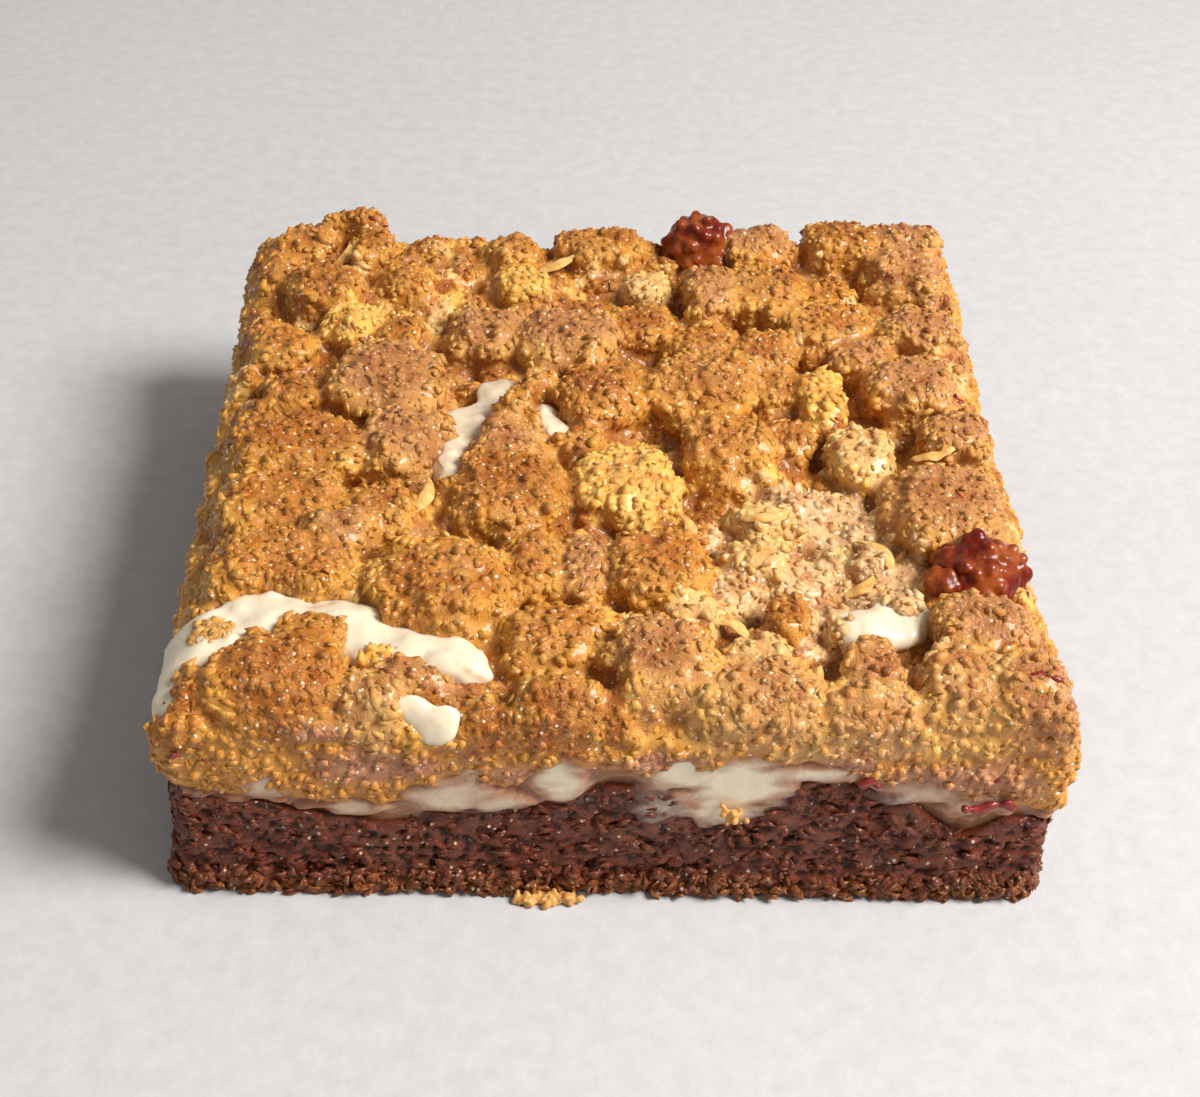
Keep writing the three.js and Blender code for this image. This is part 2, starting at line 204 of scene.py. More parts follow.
def fuzz(points, cell, seed):
    """Random unevenness from -1 to 1, whose bumps are about one cell across."""
    place = np.asarray(points, float) / cell + 31.7 * seed
    low = np.floor(place).astype(np.int64)
    part = place - low
    soft = part * part * (3 - 2 * part)
    total = np.zeros(len(place))
    for corner in np.ndindex(2, 2, 2):
        key = ((low + corner) * (73856093, 19349663, 83492791)).sum(1)
        key = (key ^ (key >> 13)) * 1274126177
        height = ((key ^ (key >> 16)) & 0xFFFF) / 32767.5 - 1
        total += height * np.where(corner, soft, 1 - soft).prod(1)
    return total


def along(knots, x):
    """The height at x of a line through knots, eased from each to the next."""
    xs, zs = np.array(knots, float).T
    at = np.clip(x, xs[0], xs[-1])
    nearest = np.clip(np.searchsorted(xs, at, side="left"), 1, len(xs) - 1)
    share = ease(at, xs[nearest - 1], xs[nearest])
    return zs[nearest - 1] + (zs[nearest] - zs[nearest - 1]) * share


def base_top(x, y):
    inside = BASE_TOP + 1.5 * waves(x, y, 36, 0.7)
    at_front = 1 - ease(y, -SIDE / 2, -SIDE / 2 + 2.4 * EDGE_BAND)
    return inside + (along(FRONT_BASE, x) - inside) * at_front


def cream_thickness(x, y):
    inside = CREAM_THICK + 0.7 * waves(x, y, 30, 2.3)
    at_face = 1 - ease(SIDE / 2 - np.maximum(np.abs(x), np.abs(y)), 0, EDGE_BAND)
    front = (y < 0) & (np.abs(y) > np.abs(x) - EDGE_BAND)
    face = np.where(front, along(FRONT_CREAM, x), 1.2 + 3.2 * waves(x, y, 33, 4.1))
    return inside + (face - inside) * at_face


def crumble_bottom(x, y):
    return base_top(x, y) + np.maximum(cream_thickness(x, y) + GAP, 0) + GAP


def rim(half, step):
    """Points round a square with rounded corners, about a step apart, and the way out at each."""
    straight = 2 * (half - CORNER)
    quarter = straight + math.pi / 2 * CORNER
    count = 4 * round(quarter / step)
    walked = np.arange(count) * 4 * quarter / count
    side = walked // quarter
    walked = walked % quarter
    turn = np.clip((walked - straight) / CORNER, 0, math.pi / 2)
    x = np.minimum(walked, straight) - straight / 2 + CORNER * np.sin(turn)
    y = CORNER * (1 - np.cos(turn)) - half
    c, s = np.cos(side * math.pi / 2), np.sin(side * math.pi / 2)
    out_x, out_y = np.sin(turn), -np.cos(turn)
    places = np.stack([c * x - s * y, s * x + c * y], 1)
    ways = np.stack([c * out_x - s * out_y, s * out_x + c * out_y], 1)
    return places, ways


def stack_of_rings(rings):
    """A closed body from rings of points, each (count, 3), with a lid on the first and the last."""
    levels, count = len(rings), len(rings[0])
    here = np.arange(count)
    beyond = (here + 1) % count
    foot, head, last = levels * count, levels * count + 1, (levels - 1) * count
    triangles = [np.stack([np.full(count, foot), beyond, here], 1)]
    for low in range(0, last, count):
        high = low + count
        triangles.append(np.stack([low + here, low + beyond, high + beyond], 1))
        triangles.append(np.stack([low + here, high + beyond, high + here], 1))
    triangles.append(np.stack([np.full(count, head), last + here, last + beyond], 1))
    return np.concatenate([*rings, [rings[0].mean(0)], [rings[-1].mean(0)]]), np.concatenate(triangles)


def mesh_of(points, triangles):
    mesh = bpy.data.meshes.new("mesh")
    mesh.vertices.add(len(points))
    mesh.vertices.foreach_set("co", np.asarray(points, np.float32).ravel())
    mesh.loops.add(3 * len(triangles))
    mesh.loops.foreach_set("vertex_index", np.asarray(triangles, np.int32).ravel())
    mesh.polygons.add(len(triangles))
    mesh.polygons.foreach_set("loop_start", np.arange(0, 3 * len(triangles), 3, dtype=np.int32))
    mesh.update(calc_edges=True)
    return mesh


def piece_of(name, mesh, material, slot_name, *nodes):
    """A piece from a mesh in metres. It stands for the nodes, and moves with the slice."""
    mesh.name = name
    mesh.shade_smooth()
    mesh.materials.append(material)
    piece = bpy.data.objects.new(name, mesh)
    bpy.context.scene.collection.objects.link(piece)
    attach(piece, "root")
    if nodes:
        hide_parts(*nodes)


def keep_value(mesh, name, values):
    """Stores a number for each point of the mesh, for its material to read."""
    mesh.attributes.new(name, "FLOAT", "POINT").data.foreach_set("value", np.asarray(values, np.float32))


def read(mesh, what):
    """The place ("co") or the way out ("normal") of each point of the mesh."""
    values = np.empty(len(mesh.vertices) * 3, np.float32)
    mesh.vertices.foreach_get(what, values)
    return values.reshape(-1, 3).astype(float)


def move_points(mesh, places):
    mesh.vertices.foreach_set("co", places.astype(np.float32).ravel())


def evened(mesh, rounds):
    """The places of the mesh's points after each has moved to the middle of its neighbours, rounds times."""
    edges = np.empty(len(mesh.edges) * 2, np.int32)
    mesh.edges.foreach_get("vertices", edges)
    ends = edges.reshape(-1, 2)
    one, other = np.concatenate([ends[:, 0], ends[:, 1]]), np.concatenate([ends[:, 1], ends[:, 0]])
    count = len(mesh.vertices)
    neighbours = np.maximum(np.bincount(one, minlength=count), 1)
    places = read(mesh, "co")
    for _ in range(rounds):
        places = np.stack([np.bincount(one, places[other, k], count) / neighbours for k in range(3)], 1)
    return places


def hollows(mesh, rounds, depth):
    """1 for a point that lies the depth below the evened surface, in a hollow, to -1 for one on a knob."""
    below = ((evened(mesh, rounds) - read(mesh, "co")) * read(mesh, "normal")).sum(1)
    return np.clip(below / (depth * MM), -1, 1)


def stamp(relief, pitch, centres, reaches, heights, lean):
    """Raises, or for negative heights sinks, an oval in a relief map for each centre (along, up)."""
    rows, columns = relief.shape
    for (s, z), (a, b), high, slope in zip(centres, reaches, heights, lean):
        r = np.arange(max(0, int((z - b) / pitch)), min(rows, int((z + b) / pitch) + 2))
        c = np.arange(int((s - a) / pitch), int((s + a) / pitch) + 2)
        ds = (c * pitch - s) / a
        dz = (r * pitch - z)[:, None] / b - slope * ds
        dome = np.sqrt(np.clip(1 - ds**2 - dz**2, 0, 1)) * (1 + 0.35 * dz)
        patch = np.ix_(r, c % columns)
        pick = np.maximum if high > 0 else np.minimum
        relief[patch] = np.where(dome > 0, pick(relief[patch], high * dome), relief[patch])


def ball(splits):
    """Points and triangles of a unit ball."""
    made = bmesh.new()
    bmesh.ops.create_icosphere(made, subdivisions=splits, radius=1)
    made.verts.ensure_lookup_table()
    corners = np.array([v.co for v in made.verts])
    triangles = np.array([[v.index for v in f.verts] for f in made.faces])
    made.free()
    return corners, triangles


def scatter(shape, triangles, centres, sizes, turns):
    """Copies of a shape at the centres, each with its own three sizes and turn, as one set of triangles."""
    copies = np.einsum("nij,nkj->nki", turns, shape * sizes[:, None]) + centres[:, None]
    starts = np.arange(len(centres)) * shape.shape[-2]
    return copies.reshape(-1, 3), (triangles[None] + starts[:, None, None]).reshape(-1, 3)


def joined(*parts):
    """Several sets of points and triangles as one."""
    starts = np.cumsum([0] + [len(points) for points, _ in parts[:-1]])
    return (
        np.concatenate([points for points, _ in parts]),
        np.concatenate([triangles + start for (_, triangles), start in zip(parts, starts)]),
    )


def facing(ways, tilt, rng, level=0):
    """Turns that stand a shape's height along each way, give or take the tilt. With a level, its length
    lies flat."""
    up = ways + rng.normal(0, 1, ways.shape) * np.reshape(tilt, (-1, 1))
    up /= np.linalg.norm(up, axis=1, keepdims=True)
    side = np.cross(up, rng.normal(size=ways.shape) + (0, 0, level))
    side /= np.linalg.norm(side, axis=1, keepdims=True)
    return np.stack([side, np.cross(up, side), up], 2)


FLAKE_SIDES = 8
sides = np.arange(FLAKE_SIDES)
next_side = (sides + 1) % FLAKE_SIDES
FLAKE_TRIANGLES = np.concatenate(
    [
        np.stack([sides, next_side, np.full(FLAKE_SIDES, FLAKE_SIDES)], 1),
        np.stack([next_side, sides, np.full(FLAKE_SIDES, FLAKE_SIDES + 1)], 1),
    ]
)
FLAKE_EDGE = np.append(np.ones(FLAKE_SIDES), (0, 0))  # 1 at a flake's thin edge


def ruffled(count, drop, ruffle, rng):
    """Thin flakes with a wavy edge that lies lower than the middle by the drop, each of its own outline."""
    turn = sides * 2 * math.pi / FLAKE_SIDES
    phase = rng.uniform(0, 2 * math.pi, (3, count, 1))
    reach = 1 + 0.16 * np.sin(3 * turn + phase[0]) + rng.normal(0, 0.06, (count, FLAKE_SIDES))
    wave = ruffle * np.sin(2 * turn + phase[1]) + 0.5 * ruffle * np.sin(3 * turn + phase[2]) - drop
    middle = np.zeros((count, 2, 3))
    middle[:, 0, 2] = rng.uniform(0.4, 1, count)
    middle[:, 1, 2] = -drop - 0.8
    rims = np.stack([reach * np.cos(turn), reach * np.sin(turn), wave], 2)
    return np.concatenate([rims, middle], 1)


BASE_PITCH = 0.33
BASE_ROWS_TOP = 17.5  # a little above the highest point of the base
TUCK = 1.2  # how fast the wall turns in above its top edge
DRAGGED_FLAKES = 9000
FOOT_CRUMBS = 1500
PITS = 800
rng = np.random.default_rng(3)
wall, outward = rim(BASE_SIDE / 2 - 0.35, BASE_PITCH)
heights = np.arange(0, BASE_ROWS_TOP, BASE_PITCH)
wall_length = len(wall) * BASE_PITCH
relief = np.full((len(heights), len(wall)), -0.25)
places = rng.uniform((0, 0), (wall_length, BASE_ROWS_TOP), (DRAGGED_FLAKES, 2))
reaches = np.stack([rng.uniform(0.35, 1.15, DRAGGED_FLAKES), rng.uniform(0.25, 0.6, DRAGGED_FLAKES)], 1)
rises, leans = rng.uniform(0.02, 0.36, DRAGGED_FLAKES), rng.normal(0, 0.5, DRAGGED_FLAKES)
stamp(relief, BASE_PITCH, places, reaches, rises, leans)
places = rng.uniform((0, 0), (wall_length, 2.6), (FOOT_CRUMBS, 2))
reaches = rng.uniform(0.35, 0.8, (FOOT_CRUMBS, 1)) * (1.15, 0.9)
stamp(relief, BASE_PITCH, places, reaches, rng.uniform(0.2, 0.8, FOOT_CRUMBS), np.zeros(FOOT_CRUMBS))
places = rng.uniform((0, 0.8), (wall_length, BASE_ROWS_TOP), (PITS, 2))
reaches = np.stack([rng.uniform(0.25, 0.7, PITS), rng.uniform(0.2, 0.42, PITS)], 1)
stamp(relief, BASE_PITCH, places, reaches, rng.uniform(-0.6, -0.25, PITS), rng.normal(0, 0.2, PITS))

rings = []
for z, row in zip(heights, relief):
    spot = np.column_stack([wall, np.full(len(wall), z)])
    top = base_top(*wall.T) + 0.4 * fuzz(spot * (1, 1, 0), 1.6, 5)
    over = np.maximum(z - top, 0)
    out = row + 0.45 * fuzz(spot, 9, 1) + 0.1 * fuzz(spot, 0.8, 2) - 0.2 * (1 - ease(z, 0, 0.7)) - TUCK * over
    rings.append(np.column_stack([wall + outward * out[:, None], np.minimum(z, top)]))
points, triangles = stack_of_rings(rings)

# Thin flakes of crumb stand off the relief, most of them at the foot: (how many, lowest, highest).
FLAKES_EACH = {"face": (3200, 1.2, 14), "foot": (2400, 0.25, 3)}
FOOT_HIGH = 3.2
FLOOR = 0.02  # how close to the table anything comes
spots, out_ways, sizes = [], [], []
for amount, low, high in FLAKES_EACH.values():
    column = rng.integers(0, len(wall), amount)
    row = (rng.uniform(low, high, amount) / BASE_PITCH).astype(int)
    spots.append(np.array([rings[r][c] for r, c in zip(row, column)]))
    out_ways.append(np.column_stack([outward[column], np.zeros(amount)]))
    sizes.append(rng.uniform(0.25, 0.75, amount))
spots, out_ways, sizes = np.concatenate(spots), np.concatenate(out_ways), np.concatenate(sizes)
kept = spots[:, 2] < base_top(*spots[:, :2].T) - 0.2
spots, out_ways, sizes = spots[kept], out_ways[kept], sizes[kept]
at_foot = spots[:, 2] < FOOT_HIGH
turns = facing(out_ways, np.where(at_foot, 0.5, 0.25), rng, 2)
shapes = sizes[:, None] * np.where(at_foot[:, None], (1.2, 0.85, 0.6), (1.4, 0.65, 0.4))
spots += out_ways * 0.1
outlines = ruffled(len(spots), 0.4, 0.4, rng)
flake_points, flake_triangles = scatter(outlines, FLAKE_TRIANGLES, spots, shapes, turns)
flake_points[:, 2] = np.maximum(flake_points[:, 2], FLOOR)

# Chocolate bake, cut: a dark matt crumb that the knife left moist, so that it shines in smears under a thin
# coat of melted sugar. Its pits are painted almost black, as painted shade.
chocolate, shader = new_material(
    "chocolate_bake_cut", {"Specular IOR Level": 0.15, "Coat Weight": 0.4, "Coat Roughness": 0.12}
)
flakes = mesh_of(flake_points * MM, flake_triangles)
piece_of("chocolate_flakes", flakes, chocolate, "chocolate")
keep_value(flakes, "edge", np.tile(FLAKE_EDGE, len(spots)))
base = mesh_of(points * MM, triangles)
piece_of("chocolate_base_cut", base, chocolate, "chocolate", "chocolate_base")
keep_value(base, "hollow", hollows(base, 6, 0.3))
where = add_node(chocolate, "ShaderNodeTexCoord").outputs["Object"]
level_grain = add_node(chocolate, "ShaderNodeMapping", Vector=where, Scale=(1, 1, 1.8)).outputs["Vector"]
# The crumb shows as smears about 4 mm long and 2 mm high, over grains of two thirds of a millimetre.
smear = add_node(chocolate, "ShaderNodeTexNoise", Vector=level_grain, Scale=240, Detail=4, Roughness=0.6)
grain = add_node(chocolate, "ShaderNodeTexNoise", Vector=level_grain, Scale=1500, Detail=5, Roughness=0.7)
# Threads of melted sugar run all over it, and bright specks are painted on it as painted glints.
# Both are drawn coarser than the real ones, at a quarter of a millimetre, so that they show.
swirl = add_node(chocolate, "ShaderNodeTexNoise", Vector=level_grain, Scale=640, Detail=2, Distortion=1.6)
threads = add_node(chocolate, "ShaderNodeMath", {"operation": "PINGPONG"}, {0: swirl.outputs["Fac"], 1: 0.06})
painted_glints = add_node(chocolate, "ShaderNodeTexVoronoi", Vector=where, Scale=900)
hollow, edge = (
    add_node(chocolate, "ShaderNodeAttribute", {"attribute_name": name}).outputs["Fac"]
    for name in ("hollow", "edge")
)
height = add_node(chocolate, "ShaderNodeSeparateXYZ", Vector=where).outputs["Z"]
foot_from, foot_full = FOOT_HIGH * MM, 1.2 * MM
# Painted light: the thin edges of the flakes are painted paler, and paler still at the foot, as highlights.
painted_edge_light = tinted(chocolate, "#9c5a3c", ((height, foot_from, foot_full, 1, "#d28c44"),))
colour = tinted(
    chocolate,
    "#702c14",
    (
        (smear.outputs["Fac"], 0.42, 0.62, 1, "#783e28"),
        (height, foot_from, foot_full, 1, "#803c16"),
        (grain.outputs["Fac"], 0.6, 0.75, 1, "#93562f"),
        # Painted shade: the hollows of the relief are darkened almost to black.
        (hollow, 0, 0.8, 0.9, "#1f0b06"),
        (threads.outputs[0], 0.046, 0.058, 0.5, "#a06a50"),
        # Painted glints: small bright specks where highlights would be.
        (painted_glints.outputs["Distance"], 0.18, 0.1, 1, "#e8c8a8"),
        # Painted highlight on the flakes' thin edges.
        (edge, 0.6, 0.95, 0.55, painted_edge_light),
    ),
)
link(chocolate, colour, shader.inputs["Base Color"])
gloss = add_node(
    chocolate,
    "ShaderNodeMapRange",
    Value=smear.outputs["Fac"],
    From_Min=0.42,
    From_Max=0.62,
    To_Min=0.48,
    To_Max=0.3,
)
link(chocolate, gloss.outputs["Result"], shader.inputs["Roughness"])
ropes = add_node(chocolate, "ShaderNodeBump", Height=threads.outputs[0], Strength=0.6, Distance=0.0025)
rough = add_node(
    chocolate,
    "ShaderNodeBump",
    Height=grain.outputs["Fac"],
    Strength=0.7,
    Distance=0.00035,
    Normal=ropes.outputs["Normal"],
)
link(chocolate, rough.outputs["Normal"], shader.inputs["Normal"])


# The cream is a soft white cheese filling that set in the oven. It wells out of the cut faces in smooth
# glossy patches with drawn-out edges, and stays inside the slice between them.
CREAM_PITCH = 0.42
SEAM_LOW, SEAM_HIGH = 7, 19.5
CREAM_SUNK = 0.8  # how far inside the faces it stays between its patches
CREAM_PROUD = 0.08
# Patches on the front face: (x, z, half width, half height, how white).
FRONT_PATCHES = (
    (-31, 13.6, 2, 1.4, 0.55), (-23, 10.9, 2.8, 1, 0.4), (-15, 12.6, 4.4, 1.8, 0.6), (-10.6, 11.8, 3, 1, 0.5),
    (-5, 15.2, 2.8, 2.8, 0.9), (6.6, 16.2, 4, 2.4, 0.95), (10.8, 14.4, 5, 4, 1), (9.6, 11.4, 3, 2.3, 0.75),
    (17, 15.8, 4.4, 0.9, 0.8), (26.8, 13.6, 4.2, 1.5, 0.4), (32, 12.6, 2.6, 1.4, 0.3),
    (-13, 16.6, 0.9, 2.2, 0.55), (-23.6, 14.4, 3.4, 1.3, 0.25), (4.4, 11.8, 3, 2, 0.3),
)
wall, outward = rim(BASE_SIDE / 2 - 0.1, CREAM_PITCH)
heights = np.arange(SEAM_LOW, SEAM_HIGH, CREAM_PITCH)
rings, veils, unders = [], [], []
face_x, face_y = wall.T
thick = cream_thickness(face_x * 1.01, face_y * 1.01)
middle = base_top(face_x, face_y) + thick / 2 + GAP
on_front = face_y < -BASE_SIDE / 2 + 1
for z in heights:
    spot = np.column_stack([wall, np.full(len(wall), z)])
    wander = 0.35 * fuzz(spot * (1, 1, 1.6), 2.4, 7) + 0.25 * fuzz(spot * (0.6, 0.6, 1.8), 0.9, 8)
    at_side = 1.1 - np.abs(z - middle) / np.maximum(thick / 2, 0.2) + wander
    shown = np.where(on_front, 0.1 - np.abs(z - middle) / 1.2, at_side) + wander
    best = np.zeros(len(wall))
    for x, patch_z, half_wide, half_high, white in FRONT_PATCHES:
        close = 1 - np.hypot((face_x - x) / half_wide, (z - patch_z) / half_high) + wander
        close = np.where(on_front, close, -1)
        best = np.maximum(best, white * ease(close, -0.1, 0.8))
        shown = np.maximum(shown, close + 0.15)
    out = (CREAM_PROUD + CREAM_SUNK) * ease(shown, -0.3, 0.25) - CREAM_SUNK
    side_veil = 0.8 * ease(shown, -0.1, 0.9) + 0.5 * fuzz(spot * (0.5, 0.5, 1), 1.4, 9)
    veils.append(np.where(on_front, best, side_veil))
    unders.append(ease(z - base_top(face_x, face_y) + wander, -0.6, 0.6))
    out -= 1.2 * (1 - ease(z, SEAM_LOW, SEAM_LOW + 1)) + 1.2 * ease(z, SEAM_HIGH - 1.4, SEAM_HIGH - 0.4)
    rings.append(np.column_stack([wall + outward * out[:, None], np.full(len(wall), z)]))
points, triangles = stack_of_rings(rings)

# Cream cheese, baked: ivory and dense, with a smooth wet skin. Light goes a millimetre into it, so that its
# shadows are soft and warm.
cream, shader = new_material(
    "cream_cheese_baked",
    {
        "Roughness": 0.3,
        "Specular IOR Level": 0.5,
        "Subsurface Weight": 0.5,
        "Subsurface Radius": (1, 0.7, 0.45),
        "Subsurface Scale": 0.0012,
    },
)
seam = mesh_of(points * MM, triangles)
piece_of("cream_seam", seam, cream, "cream", "cream_layer")
keep_value(seam, "cover", np.concatenate([*veils, [1, 1]]))
keep_value(seam, "over_crumble", np.concatenate([*unders, [1, 1]]))
where = add_node(cream, "ShaderNodeTexCoord").outputs["Object"]
cloud = add_node(cream, "ShaderNodeTexNoise", Vector=where, Scale=260, Detail=4, Roughness=0.55)
cover, over_crumble = (
    add_node(cream, "ShaderNodeAttribute", {"attribute_name": name}).outputs["Fac"]
    for name in ("cover", "over_crumble")
)
# Where the cream thins to a veil, the crumb under it shows through in streaks about 2 mm long.
streak = add_node(
    cream, "ShaderNodeTexNoise", Vector=where, Scale=520, Detail=5, Roughness=0.65, Distortion=1
)
thin = add_node(cream, "ShaderNodeMath", {"operation": "ADD"}, {0: streak.outputs["Fac"], 1: cover})
beneath = tinted(cream, "#633427", ((over_crumble, 0, 1, 1, "#ac7858"),))
ivory = tinted(cream, "#ece1ca", ((cloud.outputs["Fac"], 0, 1, 1, "#e2d0ae"),))
colour = tinted(cream, beneath, ((thin.outputs[0], 0.5, 1.35, 1, ivory),))
link(cream, colour, shader.inputs["Base Color"])
ripple = add_node(cream, "ShaderNodeTexNoise", Vector=where, Scale=900, Detail=3, Roughness=0.5)
rough = add_node(cream, "ShaderNodeBump", Height=ripple.outputs["Fac"], Strength=0.25, Distance=0.0003)
link(cream, rough.outputs["Normal"], shader.inputs["Normal"])


# The crumble is butter, sugar and flour rubbed to grains, which baked into lumps on a bed. The lumps are set
# on the bed first and covered in grains, whose lower halves are fused with them into one crust, as baking
# does, and whose thin edges stand free as flakes.
BED_TOP = 21.4
BED_FRONT = 19.8  # how high the bed lies inside the front rim
BACK_RISE = 2.2  # how much higher it was heaped at the back
POOL_BED = 20.6
POOL_TOP = 22.9
BULGE = 0.6
EDGE_DROP = 1.6
# The larger lumps by their colour: (x, y, half width, half depth, top).
LUMPS = {
    "golden": (
        (-38, -38, 2.8, 4.2, 22.6), (-27.4, -29.4, 2.9, 2.7, 23.4), (-5.6, -29.4, 4.6, 4.4, 24),
        (-31, -20.5, 7.4, 5.2, 24.2), (-16.6, -23.6, 6.6, 7, 25), (-7.6, -19.6, 2.7, 4.5, 23.6),
        (4, -19.8, 5, 5.4, 24.8), (-31.4, -10.6, 7, 5, 24), (-3.6, 1.4, 2.8, 2.6, 23.6),
        (11.6, -0.6, 4.8, 5, 25), (18, 1.2, 2.7, 2.7, 23.8), (-8.2, 6.8, 2.7, 3.5, 25.4),
        (10, 10, 6.2, 5.2, 25.2), (18.2, 9.6, 2.9, 3, 24.2), (-34.6, 15.8, 3.2, 3.2, 24.4),
        (17, 15.4, 3.6, 4, 25), (10.4, 17.4, 3.8, 3.4, 24.6), (24.6, 20.8, 5.6, 4, 25.6),
        (-22, 28, 2.6, 2.8, 25.2), (24.6, 27.6, 3, 3, 25.2), (-37, 30, 2.8, 2.8, 24.8),
        (-34, 35.6, 3.2, 3.4, 25.8), (-10.2, 35.4, 2.9, 3.4, 25.2), (-0.4, 36.4, 5.6, 4, 26.2),
        (18, 27.6, 4.2, 5.6, 26.4), (-22.6, -11.4, 3.4, 4, 24.2),
    ),
    "amber": (
        (-30, -35.5, 6.2, 5.4, 24.4), (-11.5, -39.5, 2.8, 2.4, 22.6), (-5.6, -39, 4, 3.6, 23.8),
        (15.6, -26.4, 1.8, 2.6, 23.8), (-10.8, -8.4, 6, 6.8, 24.8), (-31.8, -1, 7, 4.8, 24.6),
        (-33.4, 7.6, 3, 2.8, 24), (-0.8, 8, 4.5, 4.7, 24.8), (-22.4, 18.4, 2.1, 3.2, 24.6),
        (3.6, 21, 3.6, 3.6, 24.8), (-31, 26, 3.9, 3.9, 26.2), (-26, 34, 2, 3.6, 26.4),
        (27.4, 36.6, 4.2, 4, 27.6), (-28.4, 38.6, 2.9, 2.4, 27.8),
    ),
    "tan": (
        (3.6, -33, 4.2, 4.8, 25.4), (22.6, -33.5, 2.5, 3.6, 24.2),
        (36.8, -37, 4.2, 4.4, 25.4), (-18, -34.6, 3, 2.4, 23.4), (33.4, -28, 4.4, 3.6, 25),
        (-3.2, -20, 1.9, 4.6, 23.8), (-26, -15.8, 2.9, 2.5, 24.8), (32.4, -9.6, 5.6, 7, 25),
        (-20.6, -1, 4.6, 4.8, 25), (-11, -0.4, 4, 3.8, 24.2), (35.6, 1.8, 3.8, 3.6, 24.8),
        (-22.8, 9.4, 6.4, 6.2, 25.4), (31.8, 10.4, 4.8, 4.4, 25.4), (-13, 19, 4.6, 4.6, 25),
        (-4.4, 17.4, 5.6, 4.8, 26.2), (27.4, 15.4, 3.4, 2.8, 24.8), (34.6, 20, 4.8, 3.8, 26),
        (11.6, 26.6, 2.8, 4.4, 26.8), (34.2, 29.8, 4.6, 4.8, 26.8), (17, 36.4, 4.4, 4.2, 27),
        (34.6, 37, 4.4, 3.6, 27.8),
    ),
    "yellow": (
        (1.6, -7, 5, 5.4, 24.4), (22, 7.4, 2.1, 4.6, 25.2),
        (-27.6, 20, 2.9, 2.8, 25), (-9.2, 28.6, 2.6, 2.8, 25.2),
    ),
    "pale": (
        (25, -2, 3.1, 3.6, 24.8), (12.5, -31.8, 2.6, 2, 23.6), (7, -26, 2.6, 2.2, 23.2),
        (13.4, -17.6, 3.1, 2, 23.4), (14.4, -12, 3, 2, 23.6), (4.6, 29, 2.6, 2.6, 24.8),
    ),
    "blond": (
        (12.5, -37.5, 5.8, 4.6, 24.6), (22, -38.5, 4.6, 3.4, 24), (-21.5, -37.5, 2.8, 2.6, 23.6),
        (-36.6, -30, 2, 2, 22.8), (30.5, -35.5, 4.2, 4.4, 25),
    ),
}
# The cream pools, each of several ovals: (x, y, half width, half depth).
POOLS = {
    "cream_pool_left": (
        (-39, -34.6, 1.9, 4.6), (-37, -29.6, 4, 4.2), (-31.6, -26.6, 5, 3), (-25.6, -27.4, 4.6, 3.6),
        (-20.6, -31, 4.4, 2.9), (-14.8, -32.4, 3.4, 2.8), (-18, -38, 1.9, 1.1), (-15.6, -39.2, 2.1, 1.5),
    ),
    "cream_pool_middle": (
        (-16.4, -3, 2.2, 3.6), (-14.4, 3.4, 2.2, 4.2), (-11.4, 8.6, 2.8, 3.4), (-6.6, 5.6, 1.9, 2.6),
        (-5.2, 2.8, 1.7, 2),
    ),
    "cream_pool_right": ((22.4, -27.6, 3.4, 2.6), (26.2, -25.6, 2.8, 3.2)),
}
GRAIN_FIELD = (20, -17.5, 11, 13)  # where the crumble stayed loose and pale


def oval(x, y, cx, cy, half_wide, half_deep):
    """0 in the middle of an oval, 1 at its rim."""
    return np.hypot((x - cx) / half_wide, (y - cy) / half_deep)


def dome(x, y, place, sharpness=2.4):
    return np.clip(1 - oval(x, y, *place) ** sharpness, 0, 1) ** 0.75


def pool_depth(x, y):
    return np.max([dome(x, y, spot) for spots in POOLS.values() for spot in spots], 0)


def bed_height(x, y):
    level_bed = BED_FRONT + BACK_RISE * ease(y, 8, 36)
    level_bed = level_bed + 0.6 * waves(x, y, 17, 1.9) + 0.4 * waves(x, y, 6.5, 0.4)
    level_bed += 1.3 * ease(np.maximum(np.abs(x), np.abs(y)), SIDE / 2 - 5, SIDE / 2 - 1.5)
    return level_bed + (POOL_BED - level_bed) * ease(pool_depth(x, y), 0.1, 0.6)


def spins(count, rng):
    """Random turns, as (count, 3, 3)."""
    q = rng.normal(size=(count, 4))
    w, x, y, z = (q / np.linalg.norm(q, axis=1, keepdims=True)).T
    return np.stack(
        [
            np.stack([1 - 2 * (y * y + z * z), 2 * (x * y - w * z), 2 * (x * z + w * y)], 1),
            np.stack([2 * (x * y + w * z), 1 - 2 * (x * x + z * z), 2 * (y * z - w * x)], 1),
            np.stack([2 * (x * z - w * y), 2 * (y * z + w * x), 1 - 2 * (x * x + y * y)], 1),
        ],
        1,
    )


def fused(points, triangles, voxel):
    """One skin round everything, made of faces a voxel wide, as a new mesh in millimetres."""
    mesh = mesh_of(points, triangles)
    holder = bpy.data.objects.new("fusing", mesh)
    bpy.context.scene.collection.objects.link(holder)
    remesh = holder.modifiers.new("fuse", "REMESH")
    remesh.mode = "VOXEL"
    remesh.voxel_size = voxel
    bpy.context.view_layer.update()
    skin = bpy.data.meshes.new_from_object(holder.evaluated_get(bpy.context.evaluated_depsgraph_get()))
    bpy.data.objects.remove(holder)
    bpy.data.meshes.remove(mesh)
    return skin


rng = np.random.default_rng(5)

# The bed, as a stack of rings that run up the cut wall and in over the top. The knife left the wall flat,
# with short level cracks, dragged flakes and small pits.
WALL_PITCH = 0.4
FRONT_TUCK = 0.6  # the front face was cut closer than the others
wall, outward = rim(SIDE / 2 - 1, WALL_PITCH)
here = np.arange(len(wall))
wall_length = len(wall) * WALL_PITCH
relief = np.zeros((round(BED_TOP / WALL_PITCH) + 8, len(wall)))
